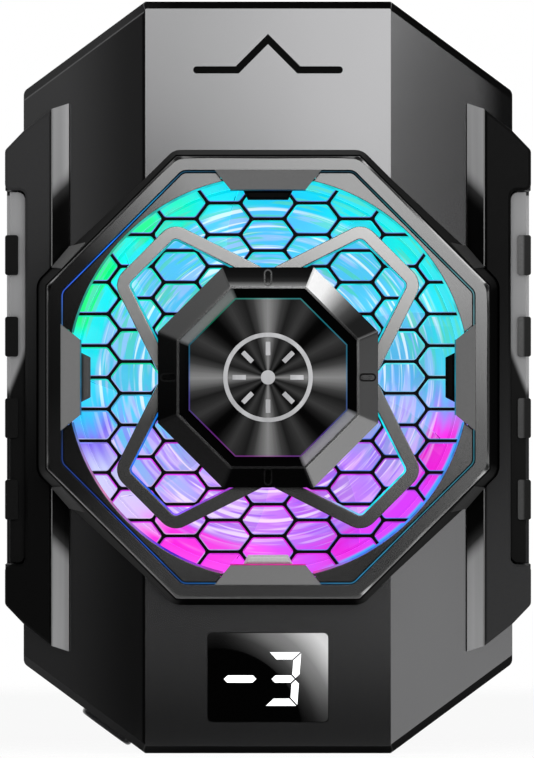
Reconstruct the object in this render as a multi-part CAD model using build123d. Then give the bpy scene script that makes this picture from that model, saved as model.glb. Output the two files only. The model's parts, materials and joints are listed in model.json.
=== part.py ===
from build123d import *
import math
import os

# Phone cooling fan: a clamp-on thermoelectric cooler with a lit fan behind a hexagon guard.
# Lengths are millimetres. X runs across the phone, Z is up and the fan faces -Y.
# A depth is measured forward from the plane where the back of the phone lies.
# A height is measured from the centre of the fan, and an across from the middle plane.

# Casing
housing_height = 94.0
housing_half_width = 30.6
flat_half_width = 15.35
corner_drop = 11.16
facet_fall = 3.8
housing_front = 19.5
casing_wall = 1.6
casing_edge_chamfer = 0.9
casing_corner_radius = 1.0

# Fits and cuts
sliding_fit = 0.15
seat_fit = 0.1
cover_gap = 0.3
running_fit = 0.05
overrun = 2.0
edge_break = 0.3
smallest_flat = 0.05
sides = (-1, 1)

# Cold side, from the phone forward
thermal_pad_depth = 0.5
thermal_pad_margin = 1.0
thermal_pad_corner_radius = 1.5
cold_plate_proud = 0.3
cold_plate_width = 32.0
cold_plate_lip = 1.2
rear_cover_thickness = 1.6
ceramic_margin = 1.0
ceramic_thickness = 0.8
pellet_height = 1.4
pellet_width = 1.6
pellets_per_row = 9
foam_border = 2.6

# Heat sink
sink_margin = 5.0
sink_base_thickness = 1.6
fin_height = 5.7
fin_thickness = 0.5
fin_pitch = 1.65
sink_screw_inset = 2.0
sink_post_radius = 1.6
fan_clearance = 0.3

# Fan
fan_base_thickness = 1.0
fan_base_fit = 0.2
fan_base_lip = 0.6
spoke_width = 3.0
spoke_count = 4
blade_tip_gap = 0.35
blade_count = 9
blade_thickness = 0.7
blade_root_chord = 8.2
blade_tip_chord = 18.6
blade_root_pitch = 33.0
blade_tip_pitch = 12.0
blade_sweep = 16.0
blade_station_shares = (0, 0.5, 1)
rotor_hub_radius = 9.0
rotor_wall = 0.8
rotor_cap_thickness = 1.0
rotor_lift = 0.7
rotor_depth = 4.6
shaft_radius = 0.75
bearing_radius = 1.6
bearing_tube_wall = 0.8
magnet_thickness = 0.7
air_gap = 0.3
stator_poles = 4
stator_height = 1.6
pole_width = 2.0
pole_shoe = 0.9
coil_build = 0.7
coil_corner_radius = 0.42
motor_board_thickness = 0.6

# Light
light_ring_width = 1.5
led_board_thickness = 0.6
led_length = 1.2
led_width = 1.08
led_height = 0.5
led_count = 16

# Guard
guard_lift = 0.5
guard_thickness = 0.8
guard_radius = 25.5
guard_rim_width = 0.4
mesh_bar_length = 4.0
mesh_slant_run = 1.49
mesh_row_pitch = 3.96
mesh_line_width = 0.38
mesh_hole_radius = 0.5
smallest_mesh_hole_area = 0.5

# Bezel
bezel_height = 4.0
bezel_wall = 1.7
bezel_ledge = 0.4
bezel_draft = 0.2125
bezel_corner_radius = 2.2
bezel_inner_corner_radius = 1.4
bezel_plug_wall = 0.8
bezel_edge_chamfer = 0.35
corner_panel_thickness = 0.8
corner_panel_overlap = 0.35
bezel_screw_radius = 0.6
bezel_screw_length = 4.0
bezel_screw_head_radius = 0.95
bezel_screw_head_height = 0.3

# Clamps that hold the guard, at the four quarters of the bezel
clamp_half_width = 6.68
clamp_tip_half_width = 4.7
clamp_reach = 2.46
clamp_fall = 0.7
stud_half_width = 3.1
stud_tip_half_width = 2.5
stud_reach = 3.75
stud_thickness = 1.1

# Star trim
star_outer_far = 18.4
star_outer_near = 11.8
star_inner_cover = 1.25
star_line_width = 1.62
star_corner_radius = 1.6
star_thickness = 0.8

# Hub
hub_apothem = 13.75
hub_wall_height = 1.9
hub_front = 24.5
hub_rim_width = 0.25
hub_recess_margin = 1.2
hub_floor_thickness = 1.4
hub_plate_apothem = 9.9
hub_plate_thickness = 1.3
hub_plate_chamfer = 0.15
hub_pill_length = 2.0
hub_pill_width = 0.9
hub_pill_depth = 0.45
inlay_thickness = 0.15
inlay_ring_radius = 5.6
inlay_ring_width = 0.55
inlay_bar_count = 8
inlay_bar_length = 1.7
inlay_bar_width = 0.6
inlay_dot_radius = 0.9

# Front ornament groove
groove_width = 0.9
groove_depth = 0.5
groove_end_gap = 8.56
groove_peak = 3.86
groove_half_length = 8.9
groove_peak_half_width = 3.85

# Display
window_width = 15.05
window_height = 11.1
window_end_gap = 9.5
window_corner_radius = 0.6
window_thickness = 1.15
window_ledge = 0.8
module_margin = 1.0
module_thickness = 2.0
segment_thickness = 1.1
segment_gap = 0.2
digit_width = 4.25
digit_height = 6.9
digit_lean = 4.3
digit_across = 1.87
digit_drop = 0.2
minus_across = -3.49
minus_length = 4.35

# Boards and socket
board_half_width = 8.2
board_thickness = 1.0
board_standoff = 1.8
standoff_radius = 0.8
standoff_inset = 1.0
standoff_rise = 3.0
board_length = 14.2
board_end_gap = 1.8
socket_width = 8.94
socket_height = 3.2
socket_length = 7.4
socket_wall = 0.3
socket_inset = 0.3
socket_tongue_width = 6.6
socket_tongue_thickness = 0.7
socket_tongue_length = 5.0
chip_shares = (
    (-0.61, 0.82, 0.54, 1.0),
    (0.07, 0.82, 0.44, 1.2),
    (0.68, 0.82, 0.37, 1.8),
    (-0.77, 0.51, 0.27, 0.9),
)

# Mode button on the lower left corner wall
button_length = 7.4
button_width = 4.0
button_proud = 0.75
button_edge_radius = 0.45
button_shift = -3.63
button_depth = 9.0
button_travel = 0.6
button_flange = 0.8
button_flange_thickness = 0.85
switch_size = 3.0
switch_height = 1.5
switch_body_height = 1.05
switch_plunger_radius = 0.75
switch_play = 0.05
button_board_width = 6.0
button_board_length = 9.4
button_board_thickness = 0.8
button_post_radius = 0.9

# Vents
vent_width = 1.4
vent_length = 9.0
vent_pitch = 2.6
vent_depth_middle = 9.3
top_vent_count = 9
corner_vent_count = 5

# Casing screws
screw_across = 10.6
screw_end_gap = 4.2
boss_radius = 2.0
screw_radius = 0.9
screw_head_radius = 1.55
screw_head_height = 0.9
screw_length = 6.5
screw_slot_width = 0.4
screw_slot_depth = 0.4

# Clamp jaws
jaw_side_gap = 0.4
jaw_wall = 1.9
jaw_shoulder = 3.5
jaw_travel = 14.0
phone_gap = 9.5
lip_thickness = 2.5
lip_reach = 3.1
lip_chamfer = 0.6
hook_taper = 10.4
hook_waist_taper = 8.4
hook_waist_depth = -2.0
jaw_shoulder_depth = 6.0
plate_thickness = 3.2
plate_drop = 0.9
plate_width = 5.8
plate_inner_rise = 5.16
plate_shoulder_rise = 2.4
notch_inset = 5.0
plate_corner_radius = 0.8
trim_width = 2.2
trim_rise = 0.74
trim_lip = 0.15
strip_recess = 0.6
strip_overhang = 0.65
strip_corner_radius = 1.0
strip_thickness = 0.7
strip_back = 3.0
strip_drop = 1.2
strip_flange = 0.6
rib_inset = 0.25
rib_height = 5.0
rib_pitch = 10.2
rib_count = 4
rib_drop = 0.7
rib_back_gap = 0.6
rib_corner_radius = 0.3
pad_thickness = 1.2
lip_pad_thickness = 0.8
pad_inset = 1.0

# Tongues, racks and springs
tongue_lift = 3.1
tongue_depth = 4.0
tongue_sink_gap = 1.5
tongue_height = 2.4
upper_tongue_inner = 9.5
lower_tongue_inner = 4.0
column_width = 3.5
rail_end_gap = 2.0
gear_module = 0.5
pinion_teeth = 12
pinion_rise = 7.5
rack_bar = 1.2
rack_overreach = 4.0
rack_addendum_share = 0.7
rack_dedendum_share = 1.13
gear_dedendum_share = 1.25
tooth_foot_share = 0.8
gear_backlash = 0.14
pressure_angle = 20.0
pin_radius = 1.0
pin_boss_radius = 2.4
pin_reach = 2.4
spring_radius = 1.5
spring_wire = 0.4
spring_drop = 2.8
lug_across = 12.0
lug_width = 2.0
spring_post_radius = 1.2

# Sizes worked out from the ones above
thermal_pad_width = cold_plate_width - 2 * thermal_pad_margin
ceramic_width = cold_plate_width - 2 * ceramic_margin
sink_width = cold_plate_width + 2 * sink_margin
light_ring_inner = guard_radius - light_ring_width
blade_tip_radius = light_ring_inner - blade_tip_gap
fan_base_opening_radius = blade_tip_radius - fan_base_lip
bezel_inner_apothem = guard_radius + bezel_ledge
bezel_top_apothem = bezel_inner_apothem + bezel_wall
bezel_plug_apothem = guard_radius + seat_fit + bezel_plug_wall
fan_base_apothem = bezel_plug_apothem - fan_base_fit
clamp_tip_distance = bezel_inner_apothem - clamp_reach
stud_tip_distance = bezel_inner_apothem - stud_reach
hub_recess_apothem = hub_plate_apothem + hub_recess_margin
hub_rim_apothem = hub_recess_apothem + hub_rim_width
hub_pill_radius = (hub_apothem + hub_recess_apothem) / 2
star_inner_reach = hub_apothem - star_inner_cover
half_height = housing_height / 2
groove_height = half_height - groove_end_gap
window_drop = half_height - window_end_gap
screw_height = half_height - screw_end_gap
board_bottom_height = -(half_height - board_end_gap)
board_top_height = board_bottom_height + board_length
centre_z = half_height
side_half_height = half_height - corner_drop
corner_run = housing_half_width - flat_half_width
facet_slope = facet_fall / corner_run
rear_cover_back = thermal_pad_depth + cold_plate_proud
rear_cover_front = rear_cover_back + rear_cover_thickness
pellets_back = rear_cover_front + ceramic_thickness
pellets_front = pellets_back + pellet_height
sink_back = pellets_front + ceramic_thickness
fins_back = sink_back + sink_base_thickness
fins_front = fins_back + fin_height
fan_base_back = fins_front + fan_clearance
fan_base_front = fan_base_back + fan_base_thickness
guard_back = housing_front + guard_lift
guard_front = guard_back + guard_thickness
bezel_front = housing_front + bezel_height
rotor_back = fan_base_front + rotor_lift
rotor_front = rotor_back + rotor_depth
hub_floor_front = guard_front + hub_floor_thickness
hub_plate_front = hub_floor_front + hub_plate_thickness
hub_shoulder = guard_front + hub_wall_height
hook_reach = phone_gap + lip_thickness
contact_y = (hub_front - hook_reach) / 2
board_back = rear_cover_front + board_standoff
tongue_back = rear_cover_front + tongue_lift
tongue_front = tongue_back + tongue_depth
tongue_bottom = sink_width / 2 + tongue_sink_gap
tongue_top = tongue_bottom + tongue_height
pinion_height = tongue_bottom + pinion_rise
jaw_wall_inner = housing_half_width + jaw_side_gap
jaw_wall_outer = jaw_wall_inner + jaw_wall
jaw_half_height = tongue_top + jaw_shoulder
hook_half_height = jaw_half_height - hook_taper
hook_waist_half_height = jaw_half_height - hook_waist_taper
pad_half_height = hook_half_height - pad_inset
lip_inner = jaw_wall_inner - lip_reach
plate_front = housing_front - plate_drop
jaw_wall_front = plate_front - plate_thickness
plate_inner = jaw_wall_outer - plate_width
plate_shoulder_height = jaw_half_height + plate_shoulder_rise
plate_inner_height = jaw_half_height + plate_inner_rise
notch_half_height = jaw_half_height - notch_inset
trim_inner = plate_inner - trim_width
trim_inner_height = plate_inner_height + trim_rise
strip_outer = jaw_wall_outer - strip_recess
strip_edge = jaw_wall_inner - strip_overhang
strip_front = plate_front - strip_drop
rib_inner = jaw_wall_inner + rib_inset
rib_front = plate_front - rib_drop
pitch_radius = gear_module * pinion_teeth / 2
rack_pitch = math.pi * gear_module
rack_addendum = gear_module * rack_addendum_share
rack_dedendum = gear_module * rack_dedendum_share
gear_addendum = gear_module * rack_addendum_share
gear_dedendum = gear_module * gear_dedendum_share
screw_places = [(x * screw_across, z * screw_height) for x in sides for z in sides]
sink_screw_offset = sink_width / 2 - sink_screw_inset
sink_screw_places = [(x * sink_screw_offset, z * sink_screw_offset) for x in sides for z in sides]


# Planes and plain shapes


def front_plane(depth, across=0.0, height=0.0):
    """Plane that faces forward: its x is across and its y is height."""
    return Plane(origin=(across, contact_y - depth, centre_z + height), x_dir=(1, 0, 0), z_dir=(0, -1, 0))


def section_plane(height=0.0):
    """Level plane: its x is across and its y is depth."""
    return Plane(origin=(0, contact_y, centre_z + height), x_dir=(1, 0, 0), z_dir=(0, 0, -1))


def side_plane(across):
    """Upright plane across the object: its x is height and its y is depth."""
    return Plane(origin=(across, contact_y, centre_z), x_dir=(0, 0, 1), z_dir=(1, 0, 0))


def wall_plane(across, height, outward, depth):
    """Plane on an outer wall: its x points forward and its z points out of the wall."""
    return Plane(origin=(across, contact_y - depth, centre_z + height), x_dir=(0, -1, 0), z_dir=outward)


def slab(outline, back, front):
    """Solid between two depths with an outline drawn in across and height."""
    return extrude(front_plane(back) * outline, amount=front - back, dir=(0, -1, 0))


def block(low, high):
    """Solid box between two corners given as across, height and depth."""
    outline = Polygon(
        (low[0], low[1]), (high[0], low[1]), (high[0], high[1]), (low[0], high[1]), align=None
    )
    return slab(outline, low[2], high[2])


def cylinder(radius, across, height, back, front):
    """Round post or hole along the depth."""
    return slab(Pos(across, height) * Circle(radius), back, front)


def octagon(apothem, corner_radius=0.0):
    """Regular octagon with a flat at each quarter."""
    reach = apothem / math.cos(math.pi / 8)
    angles = [math.pi / 8 + k * math.pi / 4 for k in range(8)]
    outline = Polygon(*[(reach * math.cos(a), reach * math.sin(a)) for a in angles], align=None)
    if corner_radius > 0:
        outline = fillet(outline.vertices(), corner_radius)
    return outline


def octagon_frustum(back, back_apothem, front, front_apothem, corner_radius=0.0):
    """Octagon that narrows or widens from one depth to another."""
    faces = [
        front_plane(back) * octagon(back_apothem, corner_radius),
        front_plane(front) * octagon(front_apothem, corner_radius),
    ]
    return loft(faces, ruled=True)


def quarter_copies(shape):
    """The shape and its three copies turned by quarters about the fan's axis."""
    return [shape.rotate(fan_axis(), 90 * k) for k in range(4)]


def fan_axis():
    """Axis of the fan, pointing forward."""
    return Axis((0, contact_y, centre_z), (0, -1, 0))


def solids_of(shapes):
    """All solids of some shapes, in one compound."""
    found = []
    for shape in shapes:
        found.extend(shape.solids())
    return Compound(children=found)


# Casing


def facet_depth(across):
    """Depth of the casing's front at a place across it."""
    return housing_front - max(abs(across) - flat_half_width, 0) * facet_slope


def casing_outline(grow=0.0):
    """Eight-sided outline of the casing seen from the front."""
    outline = Polygon(
        (flat_half_width, half_height),
        (housing_half_width, side_half_height),
        (housing_half_width, -side_half_height),
        (flat_half_width, -half_height),
        (-flat_half_width, -half_height),
        (-housing_half_width, -side_half_height),
        (-housing_half_width, side_half_height),
        (-flat_half_width, half_height),
        align=None,
    )
    if grow != 0:
        outline = offset(outline, amount=grow, kind=Kind.INTERSECTION)
    return outline


def casing_section(grow=0.0):
    """Section of the casing across its width, with the flat front and the two facets."""
    side_depth = housing_front - facet_fall
    section = Polygon(
        (-housing_half_width, -housing_front),
        (housing_half_width, -housing_front),
        (housing_half_width, side_depth),
        (flat_half_width, housing_front),
        (-flat_half_width, housing_front),
        (-housing_half_width, side_depth),
        align=None,
    )
    if grow != 0:
        section = offset(section, amount=grow, kind=Kind.INTERSECTION)
    return section


def casing_solid(grow=0.0):
    """The casing's outer form, or the same form grown or shrunk by a wall."""
    prism = slab(casing_outline(grow), rear_cover_front, housing_front + overrun)
    roof = extrude(section_plane() * casing_section(grow), amount=housing_height, both=True)
    return prism & roof


def front_rim_edges(solid):
    """Edges around the faceted front, without its folds and its upright sides."""
    edges = []
    for face in solid.faces().filter_by(lambda f: f.normal_at().Y < -math.cos(math.pi / 4)):
        edges.extend(face.edges())
    rim = [e for e in edges if sum(e.is_same(other) for other in edges) == 1]
    return [e for e in rim if abs(e.center().X) < housing_half_width - edge_break]


def round_side_corners(solid):
    """Rounds the edges along the depth where the side walls meet the corner walls."""
    edges = solid.edges().filter_by(Axis.Y)
    edges = edges.filter_by(lambda e: abs(e.center().X) > housing_half_width - edge_break)
    return fillet(edges, casing_corner_radius)


def corner_wall(across_side, height_side, shift=0.0, depth=vent_depth_middle):
    """Plane in the middle of a slanted corner wall, moved along it by a shift."""
    outward = Vector(across_side * corner_drop, 0, height_side * corner_run).normalized()
    along = outward.cross(Vector(0, -1, 0))
    middle = (flat_half_width + corner_run / 2, half_height - corner_drop / 2)
    across = across_side * middle[0] + along.X * shift
    height = height_side * middle[1] + along.Z * shift
    return wall_plane(across, height, outward, depth)


def vent_cuts():
    """Slots through the top wall and through three of the corner walls."""
    slot = SlotOverall(vent_length, vent_width)
    cuts = []
    for k in range(top_vent_count):
        across = (k - (top_vent_count - 1) / 2) * vent_pitch
        plane = wall_plane(across, half_height, (0, 0, 1), vent_depth_middle)
        cuts.append(extrude(plane * slot, amount=casing_wall + overrun, both=True))
    for across_side, height_side in ((-1, 1), (1, 1), (1, -1)):
        for k in range(corner_vent_count):
            shift = (k - (corner_vent_count - 1) / 2) * vent_pitch
            plane = corner_wall(across_side, height_side, shift)
            cuts.append(extrude(plane * slot, amount=casing_wall + overrun, both=True))
    return cuts


def groove_cut():
    """Chevron groove in the flat front, above the fan."""
    path = Polyline(
        (-groove_half_length, groove_height),
        (-groove_peak_half_width, groove_height),
        (0, groove_height + groove_peak),
        (groove_peak_half_width, groove_height),
        (groove_half_length, groove_height),
    )
    stroke = offset(path, amount=groove_width / 2, kind=Kind.INTERSECTION)
    return slab(make_face(stroke), housing_front - groove_depth, housing_front + overrun)


def window_outline(grow=0.0):
    """Rounded outline of the display window."""
    width = window_width + 2 * grow
    height = window_height + 2 * grow
    return Pos(0, -window_drop) * RectangleRounded(width, height, window_corner_radius)


def tongue_box(grow, inner, outer, level):
    """Straight tongue of a jaw, or its slot, above (1) or below (-1) the fan's centre."""
    heights = sorted((level * (tongue_bottom - grow), level * (tongue_top + grow)))
    low = (inner, heights[0], tongue_back - grow)
    high = (outer, heights[1], tongue_front + grow)
    return block(low, high)


def button_outline(grow=0.0):
    """Long rounded outline of the mode button, along the wall."""
    return Rot(0, 0, 90) * SlotOverall(button_length + 2 * grow, button_width + 2 * grow)


def button_plane():
    """Plane of the corner wall under the mode button."""
    return corner_wall(-1, -1, button_shift, button_depth)


def button_post_places():
    """Places of the two posts that carry the button's board."""
    offset_along = button_board_length / 2 - button_post_radius
    return [Pos(offset_along * side, 0) for side in sides]


def button_stack():
    """Levels below the wall's outer face: flange top, flange bottom, switch top, board top."""
    flange_top = casing_wall + sliding_fit
    flange_bottom = flange_top + button_flange_thickness
    switch_top = flange_bottom + button_travel + switch_play
    board_top = switch_top + switch_height
    return flange_top, flange_bottom, switch_top, board_top


def make_front_shell():
    outer = casing_solid()
    shell = round_side_corners(chamfer(front_rim_edges(outer), casing_edge_chamfer))
    cavity = casing_solid(-casing_wall)
    shell -= cavity
    shell -= slab(octagon(bezel_plug_apothem + seat_fit), rear_cover_front, housing_front + overrun)
    shell -= slab(window_outline(seat_fit), housing_front - window_thickness, housing_front + overrun)
    shell -= slab(window_outline(-window_ledge), rear_cover_front, housing_front)
    shell -= groove_cut()
    shell -= vent_cuts()
    for level in sides:
        shell -= tongue_box(sliding_fit, -housing_half_width - overrun, housing_half_width + overrun, level)
    plane = button_plane()
    board_top = button_stack()[3]
    shell -= extrude(plane * button_outline(sliding_fit), amount=2 * casing_wall, both=True)
    for place in button_post_places():
        post = plane.offset(-board_top) * place * Circle(button_post_radius)
        shell += extrude(post, amount=board_top - casing_wall / 2)
    shell -= socket_opening()
    roof = housing_front - casing_wall / 2
    for across, height in screw_places:
        boss = cylinder(boss_radius, across, height, rear_cover_front, roof)
        pilot = cylinder(screw_radius + running_fit, across, height, rear_cover_front, screw_tip())
        shell += boss - pilot
    pin_boss = cylinder(pin_boss_radius, 0, pinion_height, tongue_front + cover_gap, roof)
    shell += pin_boss - cylinder(pin_radius + running_fit, 0, pinion_height, tongue_front, pin_tip())
    return shell


def screw_tip():
    """Depth that the casing screws reach."""
    return rear_cover_back + screw_head_height + screw_length


def pin_tip():
    """Depth that the pinion's pin reaches, inside the front shell's boss."""
    return tongue_front + cover_gap + pin_reach


def socket_opening():
    """Hole for the power socket in the bottom wall."""
    middle = board_back + board_thickness + socket_height / 2
    plane = wall_plane(0, -half_height, (0, 0, -1), middle)
    width = socket_width + 2 * seat_fit
    height = socket_height + 2 * seat_fit
    hole = RectangleRounded(height, width, height / 2 - smallest_flat)
    return extrude(plane * hole, amount=casing_wall + overrun, both=True)


def make_rear_cover():
    cover = round_side_corners(slab(casing_outline(), rear_cover_back, rear_cover_front))
    opening = Rectangle(cold_plate_width + 2 * seat_fit, cold_plate_width + 2 * seat_fit)
    pocket_width = cold_plate_width + 2 * (cold_plate_lip + seat_fit)
    pocket = Rectangle(pocket_width, pocket_width)
    middle = (rear_cover_back + rear_cover_front) / 2
    cover -= slab(opening, rear_cover_back, rear_cover_front)
    cover -= slab(pocket, middle, rear_cover_front)
    for across, height in screw_places:
        cover -= cylinder(screw_radius + seat_fit, across, height, rear_cover_back, rear_cover_front)
        head_radius = screw_head_radius + seat_fit
        cover -= cylinder(head_radius, across, height, rear_cover_back, rear_cover_back + screw_head_height)
    for across, height in sink_screw_places:
        post = cylinder(sink_post_radius, across, height, rear_cover_front, sink_back)
        cover += post - cylinder(screw_radius, across, height, rear_cover_front, sink_back)
    rail_top = tongue_back - sliding_fit
    rail_outer = housing_half_width - casing_wall - rail_end_gap
    for level in sides:
        for side in sides:
            ends = sorted((side * upper_tongue_inner, side * rail_outer))
            heights = sorted((level * tongue_bottom, level * tongue_top))
            cover += block((ends[0], heights[0], rear_cover_front), (ends[1], heights[1], rail_top))
    cover += cylinder(pin_boss_radius, 0, pinion_height, rear_cover_front, rail_top)
    cover -= cylinder(pin_radius, 0, pinion_height, rear_cover_front, rail_top)
    spring_height = -(tongue_top + spring_drop)
    cover += cylinder(spring_post_radius, 0, spring_height, rear_cover_front, tongue_front)
    for across in sides:
        for height in (board_top_height - standoff_inset, board_bottom_height + standoff_rise):
            place = across * (board_half_width - standoff_inset)
            cover += cylinder(standoff_radius, place, height, rear_cover_front, board_back)
    return cover


def make_rear_screws():
    return solids_of(screw(across, height, rear_cover_back, 1) for across, height in screw_places)


def screw(across, height, head_outer, direction):
    """Slotted pan-head screw: the shank runs along the depth from its head."""
    head_inner = head_outer + direction * screw_head_height
    tip = head_inner + direction * screw_length
    head = cylinder(screw_head_radius, across, height, *sorted((head_outer, head_inner)))
    shank = cylinder(screw_radius, across, height, *sorted((head_inner, tip)))
    slot_inner = head_outer + direction * screw_slot_depth
    slot_depths = sorted((head_outer, slot_inner))
    low = (across - screw_head_radius, height - screw_slot_width / 2, slot_depths[0])
    high = (across + screw_head_radius, height + screw_slot_width / 2, slot_depths[1])
    return head + shank - block(low, high)


# Cold side and heat sink


def make_thermal_pad():
    outline = RectangleRounded(thermal_pad_width, thermal_pad_width, thermal_pad_corner_radius)
    return slab(outline, 0, thermal_pad_depth)


def make_cold_plate():
    middle = (rear_cover_back + rear_cover_front) / 2
    flange_width = cold_plate_width + 2 * cold_plate_lip
    face = RectangleRounded(cold_plate_width, cold_plate_width, edge_break)
    plate = slab(face, thermal_pad_depth, rear_cover_front)
    return plate + slab(Rectangle(flange_width, flange_width), middle, rear_cover_front)


def make_cold_ceramic():
    return slab(Rectangle(ceramic_width, ceramic_width), rear_cover_front, pellets_back)


def make_hot_ceramic():
    return slab(Rectangle(ceramic_width, ceramic_width), pellets_front, sink_back)


def make_peltier_pellets():
    pitch = ceramic_width / pellets_per_row
    steps = [(k - (pellets_per_row - 1) / 2) * pitch for k in range(pellets_per_row)]
    pellets = [
        slab(Pos(x, z) * Rectangle(pellet_width, pellet_width), pellets_back, pellets_front)
        for x in steps
        for z in steps
    ]
    return solids_of(pellets)


def make_insulation_foam():
    outer = Rectangle(ceramic_width + 2 * foam_border, ceramic_width + 2 * foam_border)
    inner = Rectangle(ceramic_width + 2 * seat_fit, ceramic_width + 2 * seat_fit)
    return slab(outer - inner, rear_cover_front, sink_back)


def make_heat_sink():
    sink = slab(Rectangle(sink_width, sink_width), sink_back, fins_back)
    fin_field = sink_width / 2 - 2 * sink_screw_inset
    fin_steps = int(fin_field / fin_pitch)
    for k in range(-fin_steps, fin_steps + 1):
        fin = Pos(k * fin_pitch, 0) * Rectangle(fin_thickness, sink_width)
        sink += slab(fin, fins_back, fins_front)
    for across, height in sink_screw_places:
        sink -= cylinder(screw_radius + seat_fit, across, height, sink_back, fins_back)
    return sink


def make_sink_screws():
    head_front = fins_back + screw_head_height
    screws = []
    for across, height in sink_screw_places:
        head = cylinder(screw_head_radius, across, height, fins_back, head_front)
        shank = cylinder(screw_radius, across, height, rear_cover_front, fins_back)
        low = (across - screw_head_radius, height - screw_slot_width / 2, head_front - screw_slot_depth)
        high = (across + screw_head_radius, height + screw_slot_width / 2, head_front)
        screws.append(head + shank - block(low, high))
    return solids_of(screws)


# Fan


def make_fan_base():
    base = slab(octagon(fan_base_apothem), fan_base_back, fan_base_front)
    base -= cylinder(fan_base_opening_radius, 0, 0, fan_base_back, fan_base_front)
    spoke = slab(
        Rectangle(spoke_width, 2 * (fan_base_opening_radius + spoke_width / 2)),
        fan_base_back,
        fan_base_front,
    )
    for k in range(spoke_count // 2):
        base += spoke.rotate(fan_axis(), 45 + 90 * k)
    base += cylinder(rotor_hub_radius - rotor_wall, 0, 0, fan_base_back, fan_base_front)
    tube_radius = bearing_radius + bearing_tube_wall
    base += cylinder(tube_radius, 0, 0, fan_base_front, bearing_front())
    base -= cylinder(bearing_radius, 0, 0, fan_base_front, bearing_front())
    for across, height in bezel_screw_places():
        base -= cylinder(bezel_screw_radius + seat_fit, across, height, fan_base_back, fan_base_front)
    return base


def bearing_front():
    """Depth of the bearing's front end, just behind the rotor's cap."""
    return rotor_front - rotor_cap_thickness - air_gap


def bezel_screw_places():
    """Four of the plug's eight corners, where its wall is thickest."""
    reach = (bezel_plug_apothem / math.cos(math.pi / 8) + bezel_bore_radius()) / 2
    angles = [math.pi / 8 + k * math.pi / 2 for k in range(4)]
    return [(reach * math.cos(a), reach * math.sin(a)) for a in angles]


def bezel_bore_radius():
    """Round bore of the bezel, which takes the guard and the light ring."""
    return guard_radius + seat_fit


def make_bezel_screws():
    screws = []
    for across, height in bezel_screw_places():
        head_back = fan_base_back - bezel_screw_head_height
        head = cylinder(bezel_screw_head_radius, across, height, head_back, fan_base_back)
        tip = fan_base_front + bezel_screw_length
        screws.append(head + cylinder(bezel_screw_radius, across, height, fan_base_back, tip))
    return solids_of(screws)


def make_fan_bearing():
    sleeve = cylinder(bearing_radius, 0, 0, fan_base_front, bearing_front())
    return sleeve - cylinder(shaft_radius + running_fit, 0, 0, fan_base_front, bearing_front())


def make_fan_shaft():
    return cylinder(shaft_radius, 0, 0, fan_base_front + running_fit, rotor_front - rotor_cap_thickness / 2)


def stator_depths():
    """Back and front of the stator, on the motor's board."""
    back = fan_base_front + motor_board_thickness + coil_build
    return back, back + stator_height


def magnet_inner_radius():
    return rotor_hub_radius - rotor_wall - magnet_thickness


def make_motor_board():
    front = fan_base_front + motor_board_thickness
    outer = cylinder(magnet_inner_radius() - air_gap, 0, 0, fan_base_front, front)
    hole_radius = bearing_radius + bearing_tube_wall + seat_fit
    return outer - cylinder(hole_radius, 0, 0, fan_base_front, front)


def make_stator_core():
    back, front = stator_depths()
    core_radius = bearing_radius + bearing_tube_wall + pole_width / 2
    rim_radius = magnet_inner_radius() - air_gap
    core = cylinder(core_radius, 0, 0, back, front)
    for k in range(stator_poles):
        pole = slab(Pos(0, rim_radius / 2) * Rectangle(pole_width, rim_radius), back, front)
        core += pole.rotate(fan_axis(), 360 / stator_poles * k)
    rim = cylinder(rim_radius, 0, 0, back, front) - cylinder(rim_radius - pole_shoe, 0, 0, back, front)
    gap = slab(Rectangle(pole_width, 2 * rim_radius), back, front)
    for k in range(stator_poles // 2):
        rim -= gap.rotate(fan_axis(), 180 / stator_poles + 360 / stator_poles * k)
    core += rim & cylinder(rim_radius, 0, 0, back, front)
    core -= cylinder(bearing_radius + bearing_tube_wall + running_fit, 0, 0, back, front)
    return core


def make_stator_coils():
    back, front = stator_depths()
    inner = bearing_radius + bearing_tube_wall + pole_width / 2 + seat_fit
    width = pole_width + 2 * coil_build
    shoe_radius = magnet_inner_radius() - air_gap - pole_shoe
    outer = math.sqrt(shoe_radius**2 - (width / 2) ** 2) - seat_fit
    coils = []
    for k in range(stator_poles):
        coil = block((-width / 2, inner, back - coil_build), (width / 2, outer, front + coil_build))
        coil = fillet(coil.edges().filter_by(Axis.Z), coil_corner_radius)
        coil -= block((-pole_width / 2, inner, back), (pole_width / 2, outer, front))
        coils.append(coil.rotate(fan_axis(), 360 / stator_poles * k))
    return solids_of(coils)


def make_rotor_magnet():
    outer = rotor_hub_radius - rotor_wall
    back = rotor_back + air_gap
    front = rotor_front - rotor_cap_thickness
    return cylinder(outer, 0, 0, back, front) - cylinder(outer - magnet_thickness, 0, 0, back, front)


def blade():
    """One twisted and swept blade, from inside the hub's wall to the tip."""
    root = rotor_hub_radius - rotor_wall / 2
    span = blade_tip_radius + overrun - root
    middle = (rotor_back + rotor_front) / 2
    sections = []
    for share in blade_station_shares:
        radius = root + share * span
        pitch = blade_root_pitch + share * (blade_tip_pitch - blade_root_pitch)
        turn = math.radians(share * share * blade_sweep)
        plane = Plane(
            origin=(radius * math.sin(turn), contact_y - middle, centre_z + radius * math.cos(turn)),
            x_dir=(math.cos(turn), 0, -math.sin(turn)),
            z_dir=(math.sin(turn), 0, math.cos(turn)),
        )
        chord = blade_root_chord + share * (blade_tip_chord - blade_root_chord)
        sections.append(plane * Rot(0, 0, pitch) * Rectangle(chord, blade_thickness))
    return loft(sections)


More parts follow.
